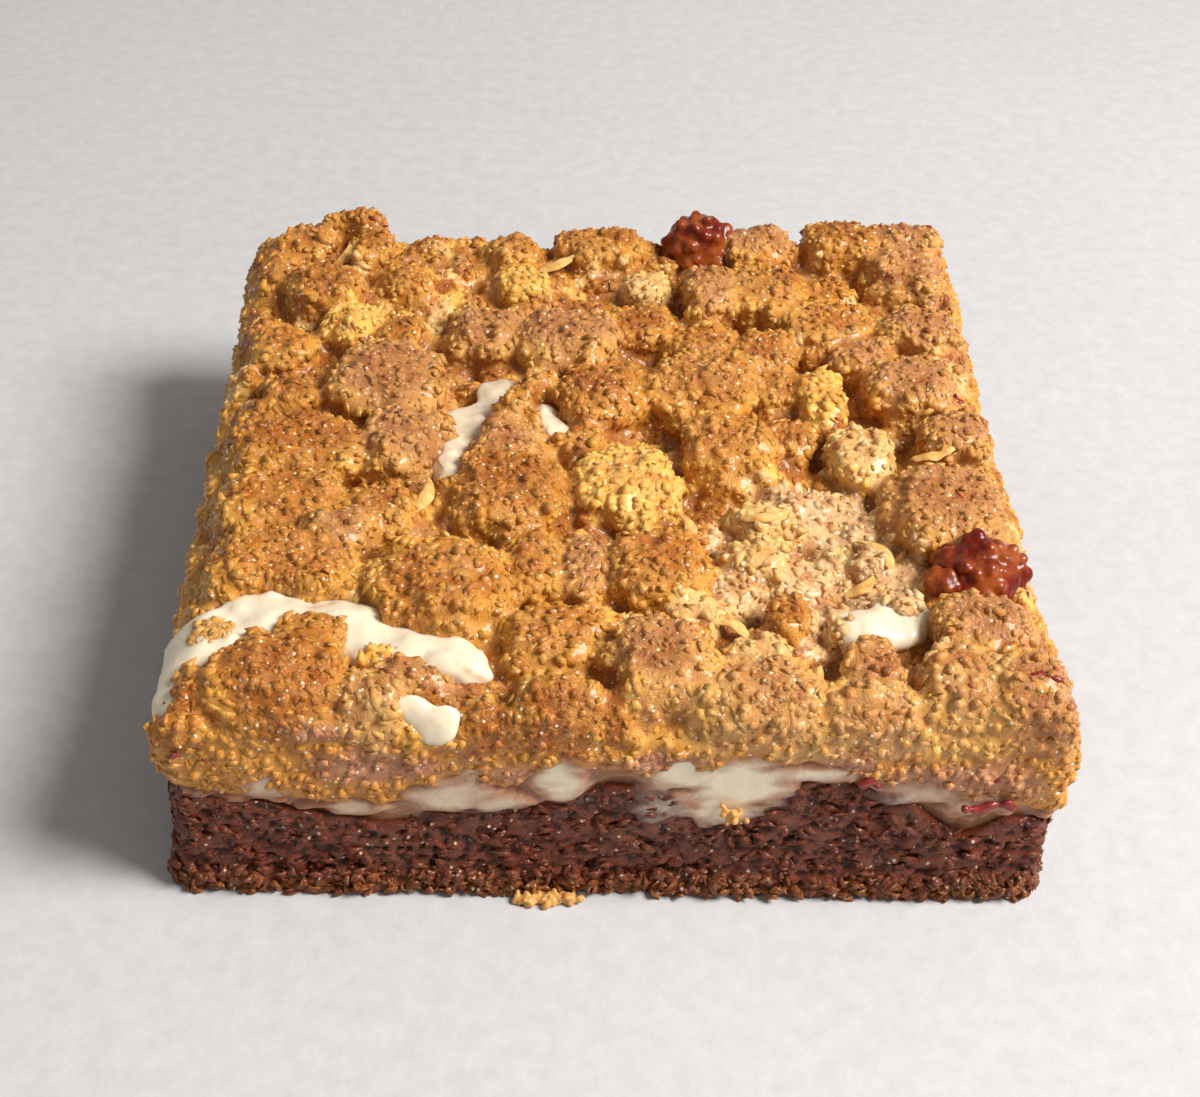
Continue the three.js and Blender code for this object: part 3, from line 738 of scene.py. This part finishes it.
# How many there are, then the least and the most that they reach along, up and out.
WALL_MARKS = {
    "dragged flakes": (1500, (0.7, 2.6), (0.4, 1), (0.1, 0.45)),
    "pits": (900, (0.3, 0.8), (0.3, 0.6), (-0.9, -0.3)),
    "cracks": (110, (1.6, 4.5), (0.3, 0.45), (-1.1, -0.6)),
}
for amount, reach_along, reach_up, reach_out in WALL_MARKS.values():
    places = rng.uniform((0, 6), (wall_length, BED_TOP), (amount, 2))
    reaches = rng.uniform(*zip(reach_along, reach_up), (amount, 2))
    rises, leans = rng.uniform(*reach_out, amount), rng.normal(0, 0.25, amount)
    stamp(relief, WALL_PITCH, places, reaches, rises, leans)
rings = []
for share in np.linspace(0.05, 1, 9):
    inner = wall * share
    rings.append(np.column_stack([inner, crumble_bottom(*inner.T)]))
low, high = crumble_bottom(*wall.T), bed_height(*wall.T) - EDGE_DROP
for lift in np.linspace(0, 1, 26)[1:-1]:
    z = low + (high - low) * lift
    spot = np.column_stack([wall, z])
    out = relief[(z / WALL_PITCH).astype(int), here] + BULGE * math.sin(math.pi * lift)
    out += 0.3 * fuzz(spot, 5, 11) - FRONT_TUCK * np.clip(-outward[:, 1], 0, 1)
    rings.append(np.column_stack([wall + outward * out[:, None], z]))
for share in np.linspace(1, 0.02, 46):
    inner = wall * share
    to_rim = (1 - share) * SIDE / 2
    z = bed_height(*inner.T) - EDGE_DROP * (1 - ease(to_rim, 0, 1.5 * EDGE_DROP))
    rings.append(np.column_stack([inner, z]))
bed_points, bed_triangles = stack_of_rings(rings)


def over_the_rim(points):
    """Bends what reaches the rim of the slice over it, so that it ends at the cut faces in a rounded edge."""
    reach = np.abs(points[:, :2])
    limit = SIDE / 2 - 3.4
    bent = np.where(reach > limit, limit + 2.4 * np.tanh((reach - limit) / 2.4), reach)
    drop = 2.2 * ease(bent.max(1), SIDE / 2 - 3.6, SIDE / 2 - 1)
    return np.column_stack([np.sign(points[:, :2]) * bent, points[:, 2] - drop])


# The lumps. Each is a low mound with a knobbly crown, and small nuggets fill in between them.
places, tones = [], []
for tone_name, rows in LUMPS.items():
    places += rows
    tones += [tone_name] * len(rows)
named = len(places)
for (x, y, half_wide, half_deep, top), tone_name in list(zip(places, tones)):
    knobs = int(0.6 * half_wide * half_deep)
    turn = rng.uniform(0, 2 * math.pi, knobs)
    share = rng.uniform(0.3, 1, knobs) ** 0.5
    for angle, part, size in zip(turn, share, rng.uniform(0.8, 1.6, knobs)):
        knob_x, knob_y = x + half_wide * part * math.cos(angle), y + half_deep * part * math.sin(angle)
        if pool_depth(knob_x, knob_y) > 0.1:
            continue
        fall = (0.42 * min(half_wide, half_deep) + 0.3) * (1 - math.sqrt(max(1 - part**2, 0)))
        places.append((knob_x, knob_y, size, size, top - 1.15 * fall + rng.uniform(-0.4, 0.2)))
        tones.append(tone_name)
NUGGETS = 1400
IN_POOL_LEFT, IN_POOL_RIGHT = 0.04, 0.45  # the share that stays of those that fall in a pool
for (x, y), size in zip(rng.uniform(-39.4, 39.4, (NUGGETS, 2)), rng.uniform(0.7, 2.1, NUGGETS)):
    in_pool = pool_depth(x, y) > 0.05
    in_lump = any(oval(x, y, *lump[:4]) < 0.85 for lump in places[:named])
    if in_lump or (in_pool and rng.uniform() > (IN_POOL_RIGHT if x > 15 else IN_POOL_LEFT)):
        continue
    top = POOL_TOP + rng.uniform(-0.3, 0.5) if in_pool else bed_height(x, y) + size * rng.uniform(0.5, 1.15)
    places.append((x, y, size, size * rng.uniform(0.7, 1.2), top))
    loose = oval(x, y, *GRAIN_FIELD) < 1
    fresh = rng.choice(["golden", "amber", "yellow", "tan", "pale"], p=(0.4, 0.25, 0.15, 0.1, 0.1))
    tones.append("beige" if loose else fresh)
lumps = np.array(places)
fine_ball, coarse_ball = ball(4), ball(3)
parts = [(bed_points, bed_triangles)]
for i, (x, y, half_wide, half_deep, top) in enumerate(lumps):
    ball_points, ball_triangles = fine_ball if i < named else coarse_ball
    smaller = min(half_wide, half_deep)
    high = 0.42 * smaller + 0.3 if i < named else 0.7 * smaller
    deep = max(top - high - BED_TOP + 3.5, high)
    shape = np.sign(ball_points) * np.abs(ball_points) ** 0.75
    shape *= (0.96 * half_wide, 0.96 * half_deep, 1)
    shape[:, 2] *= np.where(shape[:, 2] > 0, high, deep)
    swell = 1 + 0.2 * fuzz(shape + i, 3.4, i % 7) + 0.14 * fuzz(shape + i, 1.5, i % 5)
    swell -= 0.2 * (1 - ease(np.abs(fuzz(shape + i, 4.2, i % 3)), 0, 0.2)) * (i < named)
    shape = over_the_rim(shape * swell[:, None] + (x, y, top - high))
    if pool_depth(x, y) < 0.25:
        shape[:, 2] -= 4 * ease(pool_depth(shape[:, 0], shape[:, 1]), 0.15, 0.5)
    parts.append((shape, ball_triangles))


def open_underside(mesh):
    """Leaves out the fine faces of the hidden underside and closes it with one plain face."""
    made = bmesh.new()
    made.from_mesh(mesh)
    middles = np.array([f.calc_center_median() for f in made.faces])
    ways = np.array([f.normal[2] for f in made.faces])
    hidden = (np.abs(middles[:, :2]).max(1) < SIDE / 2 - 3.5) & (ways < -0.2)
    hidden &= middles[:, 2] < crumble_bottom(middles[:, 0], middles[:, 1]) + 1
    bmesh.ops.delete(made, geom=[f for f, gone in zip(made.faces, hidden) if gone], context="FACES")
    loops = [e for e in made.edges if e.is_boundary]
    bmesh.ops.holes_fill(made, edges=loops, sides=0)
    bmesh.ops.triangulate(made, faces=[f for f in made.faces if len(f.verts) > 4])
    made.to_mesh(mesh)
    made.free()


def place(skin, name, material, slot_name, *nodes):
    """A piece from a fused skin, which is in millimetres."""
    skin.transform(Matrix.Scale(MM, 4))
    piece_of(name, skin, material, slot_name, *nodes)


CORE_VOXEL = 0.5
core = fused(*joined(*parts), CORE_VOXEL)
core.transform(Matrix.Scale(MM, 4))
skin_points, skin_ways = read(core, "co") / MM, read(core, "normal")
crevice = hollows(core, 50, 1.1)
bpy.data.meshes.remove(core)

# The grains are about a millimetre across and set all over the bed and the lumps, with pits between them.
# Each takes its shape and its colour from the lump that it is part of.
GRAIN_CELL = 0.76  # about how far apart they are
LUMP_REACH = 1.08  # how far from the middle of a lump its grains lie, as a share of its rim
WALL_TOP = 18  # how high the knife's level marks run up the cut faces
order = rng.permutation(len(skin_points))
cells = np.floor(skin_points[order] / GRAIN_CELL).astype(np.int64) @ np.array((1, 1000, 1000000))
picked = order[np.unique(cells, return_index=True)[1]]
clear_of_cream = skin_points[picked, 2] > crumble_bottom(*skin_points[picked, :2].T) + GAP
picked = picked[(skin_ways[picked, 2] > -0.4) & clear_of_cream]
spots, ways = skin_points[picked], skin_ways[picked]
count = len(spots)
inside = np.array([oval(spots[:, 0], spots[:, 1], *lump[:4]) for lump in lumps])
nearest = inside[:named].argmin(0)
apart = inside[nearest, np.arange(count)]
filling = apart > LUMP_REACH
nearest[filling] = named + inside[named:, filling].argmin(0)
apart[filling] = inside[nearest[filling], filling.nonzero()[0]]
tone_of = np.array(tones, dtype="U8")[nearest]
tone_of[apart > LUMP_REACH] = "bed"
tone_of[(apart > LUMP_REACH) & (oval(*spots[:, :2].T, *GRAIN_FIELD) < 1)] = "beige"
at_face = (np.abs(spots[:, :2]).max(1) > SIDE / 2 - 2.2) & (np.abs(ways[:, 2]) < 0.6)
on_wall = at_face & (spots[:, 2] < WALL_TOP + 1.2 * fuzz(spots, 4, 23))
tone_of[on_wall] = "wall"
# Radius, thickness, tilt and how far each stands out, as a share of its radius.
GRAINS = {
    "golden": (0.62, 0.6, 0.22, 0.16), "amber": (0.6, 0.62, 0.24, 0.16), "tan": (0.6, 0.55, 0.16, 0.12),
    "yellow": (0.66, 0.6, 0.25, 0.2), "pale": (0.66, 0.6, 0.25, 0.2), "blond": (0.62, 0.6, 0.25, 0.2),
    "beige": (0.56, 0.75, 0.35, 0.24), "bed": (0.56, 0.65, 0.3, 0.2), "wall": (0.58, 0.5, 0.12, 0.12),
}
radius, thickness, tilt, lift = np.array([GRAINS[t] for t in tone_of]).T
radius = radius * rng.uniform(0.6, 1.4, count)
long_ones = rng.uniform(0, 1, count) < 0.2
half_long, half_wide = np.where(long_ones, 1.5, 1), np.where(long_ones, 0.75, 0.9)
shapes = radius[:, None] * np.column_stack([half_long, half_wide, thickness])
centres = spots + rng.normal(0, 0.12, (count, 3))
centres += ways * (radius * (lift + rng.uniform(-0.15, 0.15, count)))[:, None]

# How much of each kind of colour the grains of a lump have.
KINDS = ("amber", "tan", "yellow", "pale", "beige", "dough")
LOOKS = {
    "golden": (0.2, 0.1, 0.1, 0, 0, 0),
    "amber": (0.9, 0, 0, 0, 0, 0),
    "tan": (0, 0.95, 0, 0, 0, 0),
    "yellow": (0, 0, 0.95, 0.1, 0, 0),
    "pale": (0, 0, 0.3, 0.8, 0, 0),
    "blond": (0, 0.4, 0.25, 0.4, 0, 0),
    "beige": (0, 0, 0, 0.15, 0.9, 0),
    "bed": (0.3, 0, 0.2, 0.1, 0, 0),
    "wall": (0.2, 0.2, 0, 0, 0, 0.7),
}
looks = np.array([LOOKS[t] for t in tone_of])
drift = fuzz(centres, 4, 21)[:, None] * (0.3, 0.3, 0.2, 0.15, 0.1, 0.3)
looks = np.clip(looks + np.where(looks > 0.02, drift, 0) + rng.normal(0, 0.06, looks.shape), 0, 1)
crown = np.clip(ease(apart, 1.1, 0.35) + 0.3 * fuzz(centres, 3, 22), 0, 1) * ~on_wall
own_shade = rng.normal(0, 0.35, count).clip(-1, 1)

# The berries bled into the cut faces: (x, z, half width, half height).
BLUSHES = (
    (-21, 16.4, 8, 2.4), (-9, 15.4, 3.6, 2), (3, 17, 6, 1.8), (20, 17, 4, 2), (30, 15.4, 10, 3.2),
    (-26, 20, 3, 1.2),
)


def coloured(mesh, which, points):
    """Keeps, for each point of the mesh, the colour shares of the grain that it belongs to."""
    for kind, values in zip(KINDS, looks.T):
        keep_value(mesh, kind, values[which])
    keep_value(mesh, "crown", crown[which])
    keep_value(mesh, "own_shade", own_shade[which])
    x, y, z = points.T
    blush = np.max([1 - oval(x, z, *spot) for spot in BLUSHES], 0) + 0.3 * fuzz(points, 1.6, 31)
    keep_value(mesh, "blush", ease(blush, 0, 0.6) * ease(-y, 37.5, 39.5))


tree = KDTree(count)
for i, centre in enumerate(centres):
    tree.insert(centre, i)
tree.balance()

# Butter crumble, baked: a rough gold crust with a buttery shine. A little light goes into it, which makes
# its thin edges glow, and the thin edges of its flakes are painted paler too, as painted light.
crumble, shader = new_material(
    "butter_crumble_baked",
    {
        "Roughness": 0.45,
        "Specular IOR Level": 0.25,
        "Coat Weight": 0.3,
        "Coat Roughness": 0.1,
        "Subsurface Weight": 0.3,
        "Subsurface Radius": (1, 0.5, 0.2),
        "Subsurface Scale": 0.0006,
    },
)

# The crust: the lower half of each grain is a pebble, fused with the bed and the lumps. It is made in strips,
# so that no piece has too many faces.
PEBBLE_SUNK = 0.45  # how far in from the middle of its grain, as a share of its radius
turns = facing(ways, tilt, rng)
pebble_points, pebble_triangles = ball(1)
pebbles = centres - PEBBLE_SUNK * radius[:, None] * ways
pebble_shapes = radius[:, None] * np.where(on_wall[:, None], (1, 0.85, 0.6), (0.95, 0.85, 0.75))
STRIPS = {"front": (-50, -21), "front_middle": (-21, 0), "back_middle": (0, 21), "back": (21, 50)}
CRUST_VOXEL = 0.42
for name, (near, far) in STRIPS.items():
    slab = bed_points.copy()
    slab[:, 1] = np.clip(slab[:, 1], near - 0.4, far + 0.4)
    held = [(slab, bed_triangles)]
    held += [part for part, (_, y, *_) in zip(parts[1:], lumps) if near <= y < far]
    mine = (centres[:, 1] >= near) & (centres[:, 1] < far)
    held.append(scatter(pebble_points, pebble_triangles, pebbles[mine], pebble_shapes[mine], turns[mine]))
    skin = fused(*joined(*held), CRUST_VOXEL)
    move_points(skin, 0.6 * read(skin, "co") + 0.4 * evened(skin, 1))
    open_underside(skin)
    skin_points = read(skin, "co")
    which = np.array([tree.find(p)[1] for p in skin_points])
    place(skin, "crumble_" + name, crumble, "crumble", "crumble_layer")
    coloured(skin, which, skin_points)
    keep_value(skin, "crevice", crevice[picked][which])
    keep_value(skin, "hollow", hollows(skin, 8, 0.3))

# The upper half of each grain is a flake, whose thin edge stands free of the crust.
STANDING = 0.97  # the share of the grains that have kept theirs
outlines = ruffled(count, 0.55, 0.36, rng)
standing = rng.uniform(0, 1, count) < STANDING
FLAKE_PIECES = {
    "golden_flakes": ("golden", "bed"), "amber_flakes": ("amber",), "tan_flakes": ("tan",),
    "light_flakes": ("yellow", "pale", "blond", "beige"), "cut_face_flakes": ("wall",),
}
for name, tones_here in FLAKE_PIECES.items():
    mine = np.isin(tone_of, tones_here) & standing
    points, triangles = scatter(outlines[mine], FLAKE_TRIANGLES, centres[mine], shapes[mine], turns[mine])
    flakes = mesh_of(points * MM, triangles)
    piece_of(name, flakes, crumble, "crumble")
    coloured(flakes, np.repeat(mine.nonzero()[0], len(FLAKE_EDGE)), points)
    keep_value(flakes, "edge", np.tile(FLAKE_EDGE, mine.sum()))
    keep_value(flakes, "crevice", np.repeat(crevice[picked][mine], len(FLAKE_EDGE)))

where = add_node(crumble, "ShaderNodeTexCoord").outputs["Object"]
shares = {
    kind: add_node(crumble, "ShaderNodeAttribute", {"attribute_name": kind}).outputs["Fac"]
    for kind in (*KINDS, "crown", "own_shade", "crevice", "blush", "hollow", "edge")
}
# The oven browned the crowns of the lumps in blotches a few millimetres across.
mottle = add_node(
    crumble, "ShaderNodeTexNoise", Vector=where, Scale=420, Detail=5, Roughness=0.65, Distortion=0.8
)
blotch = add_node(crumble, "ShaderNodeMapRange", Value=mottle.outputs["Fac"], From_Min=0.35, From_Max=0.65)
browned = add_node(
    crumble, "ShaderNodeMath", {"operation": "MULTIPLY"}, {0: shares["crown"], 1: blotch.outputs["Result"]}
)
# Threads of melted sugar, pinholes painted as dark dots of painted shade, and bright specks painted on as
# painted glints. All are drawn coarser than the real ones, at a quarter of a millimetre, so that they show.
swirl = add_node(
    crumble, "ShaderNodeTexNoise", Vector=where, Scale=560, Detail=1.5, Roughness=0.5, Distortion=1.8
)
threads = add_node(crumble, "ShaderNodeMath", {"operation": "PINGPONG"}, {0: swirl.outputs["Fac"], 1: 0.06})
pinholes = add_node(crumble, "ShaderNodeTexVoronoi", Vector=where, Scale=640)
painted_glints = add_node(crumble, "ShaderNodeTexVoronoi", Vector=where, Scale=900)
jam = tinted(crumble, "#985444", ((blotch.outputs["Result"], 0, 1, 1, "#c8947c"),))
colour = tinted(
    crumble,
    "#bc741a",
    (
        (shares["amber"], 0, 1, 1, "#a65c0a"),
        (shares["yellow"], 0, 1, 1, "#fac25a"),
        (shares["pale"], 0, 1, 1, "#f4d292"),
        (shares["beige"], 0, 1, 1, "#eccfa2"),
        (shares["tan"], 0, 1, 1, "#bb8354"),
        (shares["dough"], 0, 1, 1, "#b2622e"),
        # The lumps are palest at their rims, where the crust stayed thin.
        (shares["crown"], 0.6, 0, 0.45, "#d89c3e"),
        (browned.outputs[0], 0, 1, 1, "#c89a74", "MULTIPLY"),
        (shares["own_shade"], 0, 1, 0.35, "#e8a846"),
        (shares["own_shade"], 0, -1, 0.3, "#904c0a"),
        (shares["blush"], 0, 1, 0.75, jam),
        # Painted shade: the crevices between the lumps are darkened.
        (shares["crevice"], 0.1, 0.9, 0.7, "#7c3c06"),
        # Painted shade darkens the creases between the grains, and painted light makes the knobs of the
        # grains paler.
        (shares["hollow"], 0.1, 0.9, 0.7, "#96560e"),
        (shares["hollow"], -0.2, -0.9, 0.3, "#eaac4a"),
        # Painted light: the thin edges of the flakes are painted paler.
        (shares["edge"], 0.6, 1, 0.3, "#f0b454"),
        (threads.outputs[0], 0.046, 0.058, 0.3, "#f4be68"),
        # Painted shade: dark dots stand in for the shade inside pinholes.
        (pinholes.outputs["Distance"], 0.13, 0.09, 0.7, "#5c2c08"),
        # Painted glints: small bright specks where highlights would be.
        (painted_glints.outputs["Distance"], 0.15, 0.1, 0.85, "#fff0d2"),
    ),
)
link(crumble, colour, shader.inputs["Base Color"])
ropes = add_node(crumble, "ShaderNodeBump", Height=threads.outputs[0], Strength=0.3, Distance=0.0025)
rough = add_node(
    crumble,
    "ShaderNodeBump",
    Height=mottle.outputs["Fac"],
    Strength=0.3,
    Distance=0.0003,
    Normal=ropes.outputs["Normal"],
)
link(crumble, rough.outputs["Normal"], shader.inputs["Normal"])


# Where the cream welled up through the crumble it lies in smooth ivory pools, level and glossy in the
# middle, which run in between the lumps and over the rim of the slice.
POOL_VOXEL = 0.4
POOL_COVER = {"cream_pool_left": 1, "cream_pool_middle": 0.72, "cream_pool_right": 0.85}
POOL_DEPTH = 1.5
for name, spots in POOLS.items():
    drops = []
    for x, y, half_wide, half_deep in spots:
        disc = np.sign(fine_ball[0]) * np.abs(fine_ball[0]) ** (0.9, 0.9, 0.5)
        drop = disc * (1.04 * half_wide, 1.04 * half_deep, POOL_DEPTH) + (x, y, POOL_TOP - POOL_DEPTH)
        drops.append((drop, fine_ball[1]))
    skin = fused(*joined(*drops), POOL_VOXEL)
    settled = evened(skin, 10)
    settled[:, 0] += 0.7 * fuzz(settled, 2.6, 43) + 0.35 * fuzz(settled, 1.2, 44)
    settled[:, 1] += 0.7 * fuzz(settled, 2.6, 45) + 0.35 * fuzz(settled, 1.2, 46)
    settled[:, 2] += 0.6 * fuzz(settled * (1, 1, 0.3), 3.2, 41) + 0.2 * fuzz(settled, 1.3, 42)
    to_rim = SIDE / 2 - np.abs(settled[:, :2]).max(1)
    settled[:, 2] -= 1.3 * EDGE_DROP * (1 - ease(to_rim, 0, 2.4 * EDGE_DROP))
    settled[:, :2] = np.clip(settled[:, :2], -SIDE / 2 + 0.2, SIDE / 2 - 0.2)
    move_points(skin, settled)
    place(skin, name + "_set", cream, "cream", name)
    keep_value(skin, "cover", np.full(len(settled), POOL_COVER[name]))
    keep_value(skin, "over_crumble", np.ones(len(settled)))


# Two raspberries were baked into the crumble. Their drupelets shrank to a tight cluster of sticky beads,
# which are set round a heart in a spiral and fused where they touch.
# Each berry: (x, y, z, half width, half depth, half height).
BERRIES = {
    "raspberry_right": (34.6, -19, 21.8, 5, 4.6, 4.2),
    "raspberry_back": (11, 36.6, 24.2, 4.8, 4.2, 4.8),
}
BERRY_PIECE = (30.6, -21, 22.8, 2.2, 2, 1.6)  # broken off the one on the right
BEADS_PER_AREA = 3.6
BEAD_SUNK, HEART_SUNK = 0.85, 0.6  # how far inside the berry's oval
BERRY_VOXEL = 0.24
# Raspberry, baked: a brownish red where it is thin, and wet all over, with the creases between its beads
# painted nearly black as painted shade.
berry, shader = new_material(
    "raspberry_baked",
    {
        "Roughness": 0.25,
        "Specular IOR Level": 0.35,
        "Subsurface Weight": 0.15,
        "Subsurface Radius": (1, 0.25, 0.15),
        "Subsurface Scale": 0.0008,
    },
)
for name, (x, y, z, *halves) in {**BERRIES, "raspberry_bit": BERRY_PIECE}.items():
    halves = np.array(halves)
    beads = round(BEADS_PER_AREA * halves[0] * halves[1])
    step = np.arange(beads) + 0.5
    up = 1 - 2 * step / beads
    turn = step * math.pi * (1 + math.sqrt(5))
    flat = np.sqrt(1 - up * up)
    places = np.stack([flat * np.cos(turn), flat * np.sin(turn), up], 1)
    places = places * (halves - BEAD_SUNK) + (x, y, z) + rng.normal(0, 0.2, (beads, 3))
    sizes = rng.uniform(0.6, 0.95, (beads, 1)) * (1, 1, 0.85)
    drupelets = scatter(coarse_ball[0], coarse_ball[1], places, sizes, spins(beads, rng))
    heart = coarse_ball[0] * (halves - HEART_SUNK) + (x, y, z)
    skin = fused(*joined((heart, coarse_ball[1]), drupelets), BERRY_VOXEL)
    move_points(skin, evened(skin, 1))
    place(skin, name + "_cluster", berry, "raspberry", *([name] if name in BERRIES else []))
    keep_value(skin, "hollow", hollows(skin, 8, 0.35))
where = add_node(berry, "ShaderNodeTexCoord").outputs["Object"]
# The juice ripened in patches about 3 mm across.
juice = add_node(berry, "ShaderNodeTexNoise", Vector=where, Scale=300, Detail=5, Roughness=0.7)
hollow = add_node(berry, "ShaderNodeAttribute", {"attribute_name": "hollow"}).outputs["Fac"]
colour = tinted(
    berry,
    "#681606",
    (
        (juice.outputs["Fac"], 0.4, 0.65, 1, "#a65420"),
        # Painted shade: the creases between the beads are darkened.
        (hollow, 0, 0.9, 1, "#4a1004"),
    ),
)
link(berry, colour, shader.inputs["Base Color"])
rough = add_node(berry, "ShaderNodeBump", Height=juice.outputs["Fac"], Strength=0.3, Distance=0.0003)
link(berry, rough.outputs["Normal"], shader.inputs["Normal"])


# Flaked grain fell over the crumble before it was baked, and lies in it as pale curved slivers. Each is a
# thin oval, bent along its length and narrower at one end, and slopes as the grains under it do.
SLIVER_WIDE, SLIVER_THICK = 0.62, 0.24  # half sizes
# The slivers: (x, y, half length, turn in degrees, how far above the crumble).
SLIVERS = (
    (-18, -9.8, 3, 78, 0.4), (7.4, -13, 2.6, 92, 0.5), (25.4, -15.6, 3, 118, 0.4), (-5, 32, 2.6, 30, 0.2),
    (33, -2.6, 2.6, 20, 0.3), (-29, 33, 2.2, 70, 0.2), (10.6, -27.6, 2, 150, 0.2), (14.6, -13, 2.4, 10, 0.3),
    (23.6, -20.4, 2, 40, 0.2),
)


def crumble_at(x, y):
    """How high the crumble's grains stand at a spot."""
    near = centres[np.hypot(centres[:, 0] - x, centres[:, 1] - y) < 1.1]
    return np.percentile(near[:, 2], 85) if len(near) else BED_TOP


slivers = []
for x, y, half_long, degrees, lift in SLIVERS:
    shape = fine_ball[0] * (half_long, SLIVER_WIDE, SLIVER_THICK)
    share = shape[:, 0] / half_long
    shape[:, 1] = shape[:, 1] * (1 - 0.4 * share) + 0.9 * share**2
    shape[:, 2] += 0.45 * (1 - share**2) - 0.3
    shape += 0.16 * fuzz(shape + x, 1, 51)[:, None] * (0.5, 1, 1)
    c, s = math.cos(math.radians(degrees)), math.sin(math.radians(degrees))
    turned = shape @ np.array([(c, s, 0), (-s, c, 0), (0, 0, 1)])
    start, end = (crumble_at(x + e * half_long * c, y + e * half_long * s) for e in (-0.6, 0.6))
    turned[:, 2] += (start + end) / 2 + shape[:, 0] / half_long * (end - start) / 2.4 + lift
    slivers.append((turned + (x, y, 0), fine_ball[1]))
sliver_points, sliver_triangles = joined(*slivers)
# Flaked grain, toasted: dry and straw-coloured, with browner streaks of bran a millimetre long.
flake, shader = new_material(
    "grain_flake_toasted",
    {
        "Roughness": 0.45,
        "Specular IOR Level": 0.25,
        "Subsurface Weight": 0.2,
        "Subsurface Radius": (1, 0.7, 0.35),
        "Subsurface Scale": 0.0006,
    },
)
piece_of("pale_flakes", mesh_of(sliver_points * MM, sliver_triangles), flake, "crumble")
where = add_node(flake, "ShaderNodeTexCoord").outputs["Object"]
bran = add_node(
    flake, "ShaderNodeTexNoise", Vector=where, Scale=900, Detail=4, Roughness=0.6, Distortion=0.6
)
colour = tinted(flake, "#e6bc74", ((bran.outputs["Fac"], 0.4, 0.7, 1, "#c88a3c"),))
link(flake, colour, shader.inputs["Base Color"])
rough = add_node(flake, "ShaderNodeBump", Height=bran.outputs["Fac"], Strength=0.5, Distance=0.0003)
link(flake, rough.outputs["Normal"], shader.inputs["Normal"])


# Scraps of berry show as small red bits, in the top and pressed into the front face. Each is a few flattened
# beads fused together. On top they lie on the grains, whatever their z.
# The scraps: (x, y, z, radius).
SCRAPS = (
    (-26.2, 36.5, 0, 0.8), (-1, 26.5, 0, 0.7), (37.4, 37.4, 0, 0.7), (36.5, 8, 0, 0.7), (37.2, -37, 0, 0.9),
    (-39.7, -37.4, 20.6, 0.6), (-38.6, -40.4, 17.6, 0.6), (-35.8, -40.6, 17.4, 0.5), (22, -40.3, 15.5, 0.9),
    (32.4, -40.3, 12.6, 1.1), (34.8, -40.3, 12.9, 0.9), (33.5, -40.3, 16, 0.6),
)
FRONT_FACE = -38  # those in front of this are pressed into it, flat
SCRAP_VOXEL = 0.2
scraps = []
for x, y, z, radius in SCRAPS:
    bits = max(4, round(9 * radius))
    in_face = y < FRONT_FACE
    places = rng.normal(0, 0.5 * radius, (bits, 3)) * (1.2, 0.25 if in_face else 1, 0.6) + (x, y, z)
    if not in_face:
        places[:, 2] = [crumble_at(*spot) for spot in places[:, :2]]
    sizes = radius * rng.uniform(0.25, 0.55, (bits, 3)) * (1.2, 0.8, 0.8)
    upright = np.broadcast_to(np.eye(3), (bits, 3, 3))
    scraps.append(scatter(coarse_ball[0], coarse_ball[1], places, sizes, upright))
skin = fused(*joined(*scraps), SCRAP_VOXEL)
move_points(skin, evened(skin, 1))
# Raspberry skin, wet: a deep red that lets a little light through, mottled every millimetre or two.
scrap, shader = new_material(
    "raspberry_scrap_wet",
    {
        "Roughness": 0.3,
        "Subsurface Weight": 0.2,
        "Subsurface Radius": (1, 0.3, 0.25),
        "Subsurface Scale": 0.0005,
    },
)
place(skin, "berry_scraps", scrap, "raspberry")
where = add_node(scrap, "ShaderNodeTexCoord").outputs["Object"]
juice = add_node(scrap, "ShaderNodeTexNoise", Vector=where, Scale=700, Detail=3)
colour = tinted(scrap, "#6c1816", ((juice.outputs["Fac"], 0, 1, 1, "#9c342e"),))
link(scrap, colour, shader.inputs["Base Color"])


# Crumbs that came off with the knife lie against the foot of the front face, and one is stuck in the cream.
# They are clumps of the crumble's finest grains, and have its material.
CLUMPS = 10
GRAINS_EACH = 12
CRUMB_VOXEL = 0.12
IN_CREAM = [(10.2, -40.5, 11.8), (10.5, -40.5, 11)]
clumps = np.concatenate([rng.uniform((-9, -41.3, 0.3), (-2.6, -40.6, 0.6), (CLUMPS, 3)), IN_CREAM])
apart = rng.normal(0, 0.4, (len(clumps) * GRAINS_EACH, 3)) * (1.3, 0.7, 0.6)
places = np.repeat(clumps, GRAINS_EACH, 0) + apart
sizes = rng.uniform(0.2, 0.42, (len(places), 1)) * (1.1, 0.9, 0.8)
crumbs = scatter(coarse_ball[0], coarse_ball[1], places, sizes, spins(len(places), rng))
skin = fused(*crumbs, CRUMB_VOXEL)
raised = read(skin, "co")
raised[:, 2] = np.maximum(raised[:, 2], FLOOR)
move_points(skin, raised)
place(skin, "fallen_crumbs", crumble, "crumble")
keep_value(skin, "edge", fuzz(raised, 0.8, 53))
for kind in ("tan", "pale"):
    keep_value(skin, kind, np.full(len(raised), 0.5))
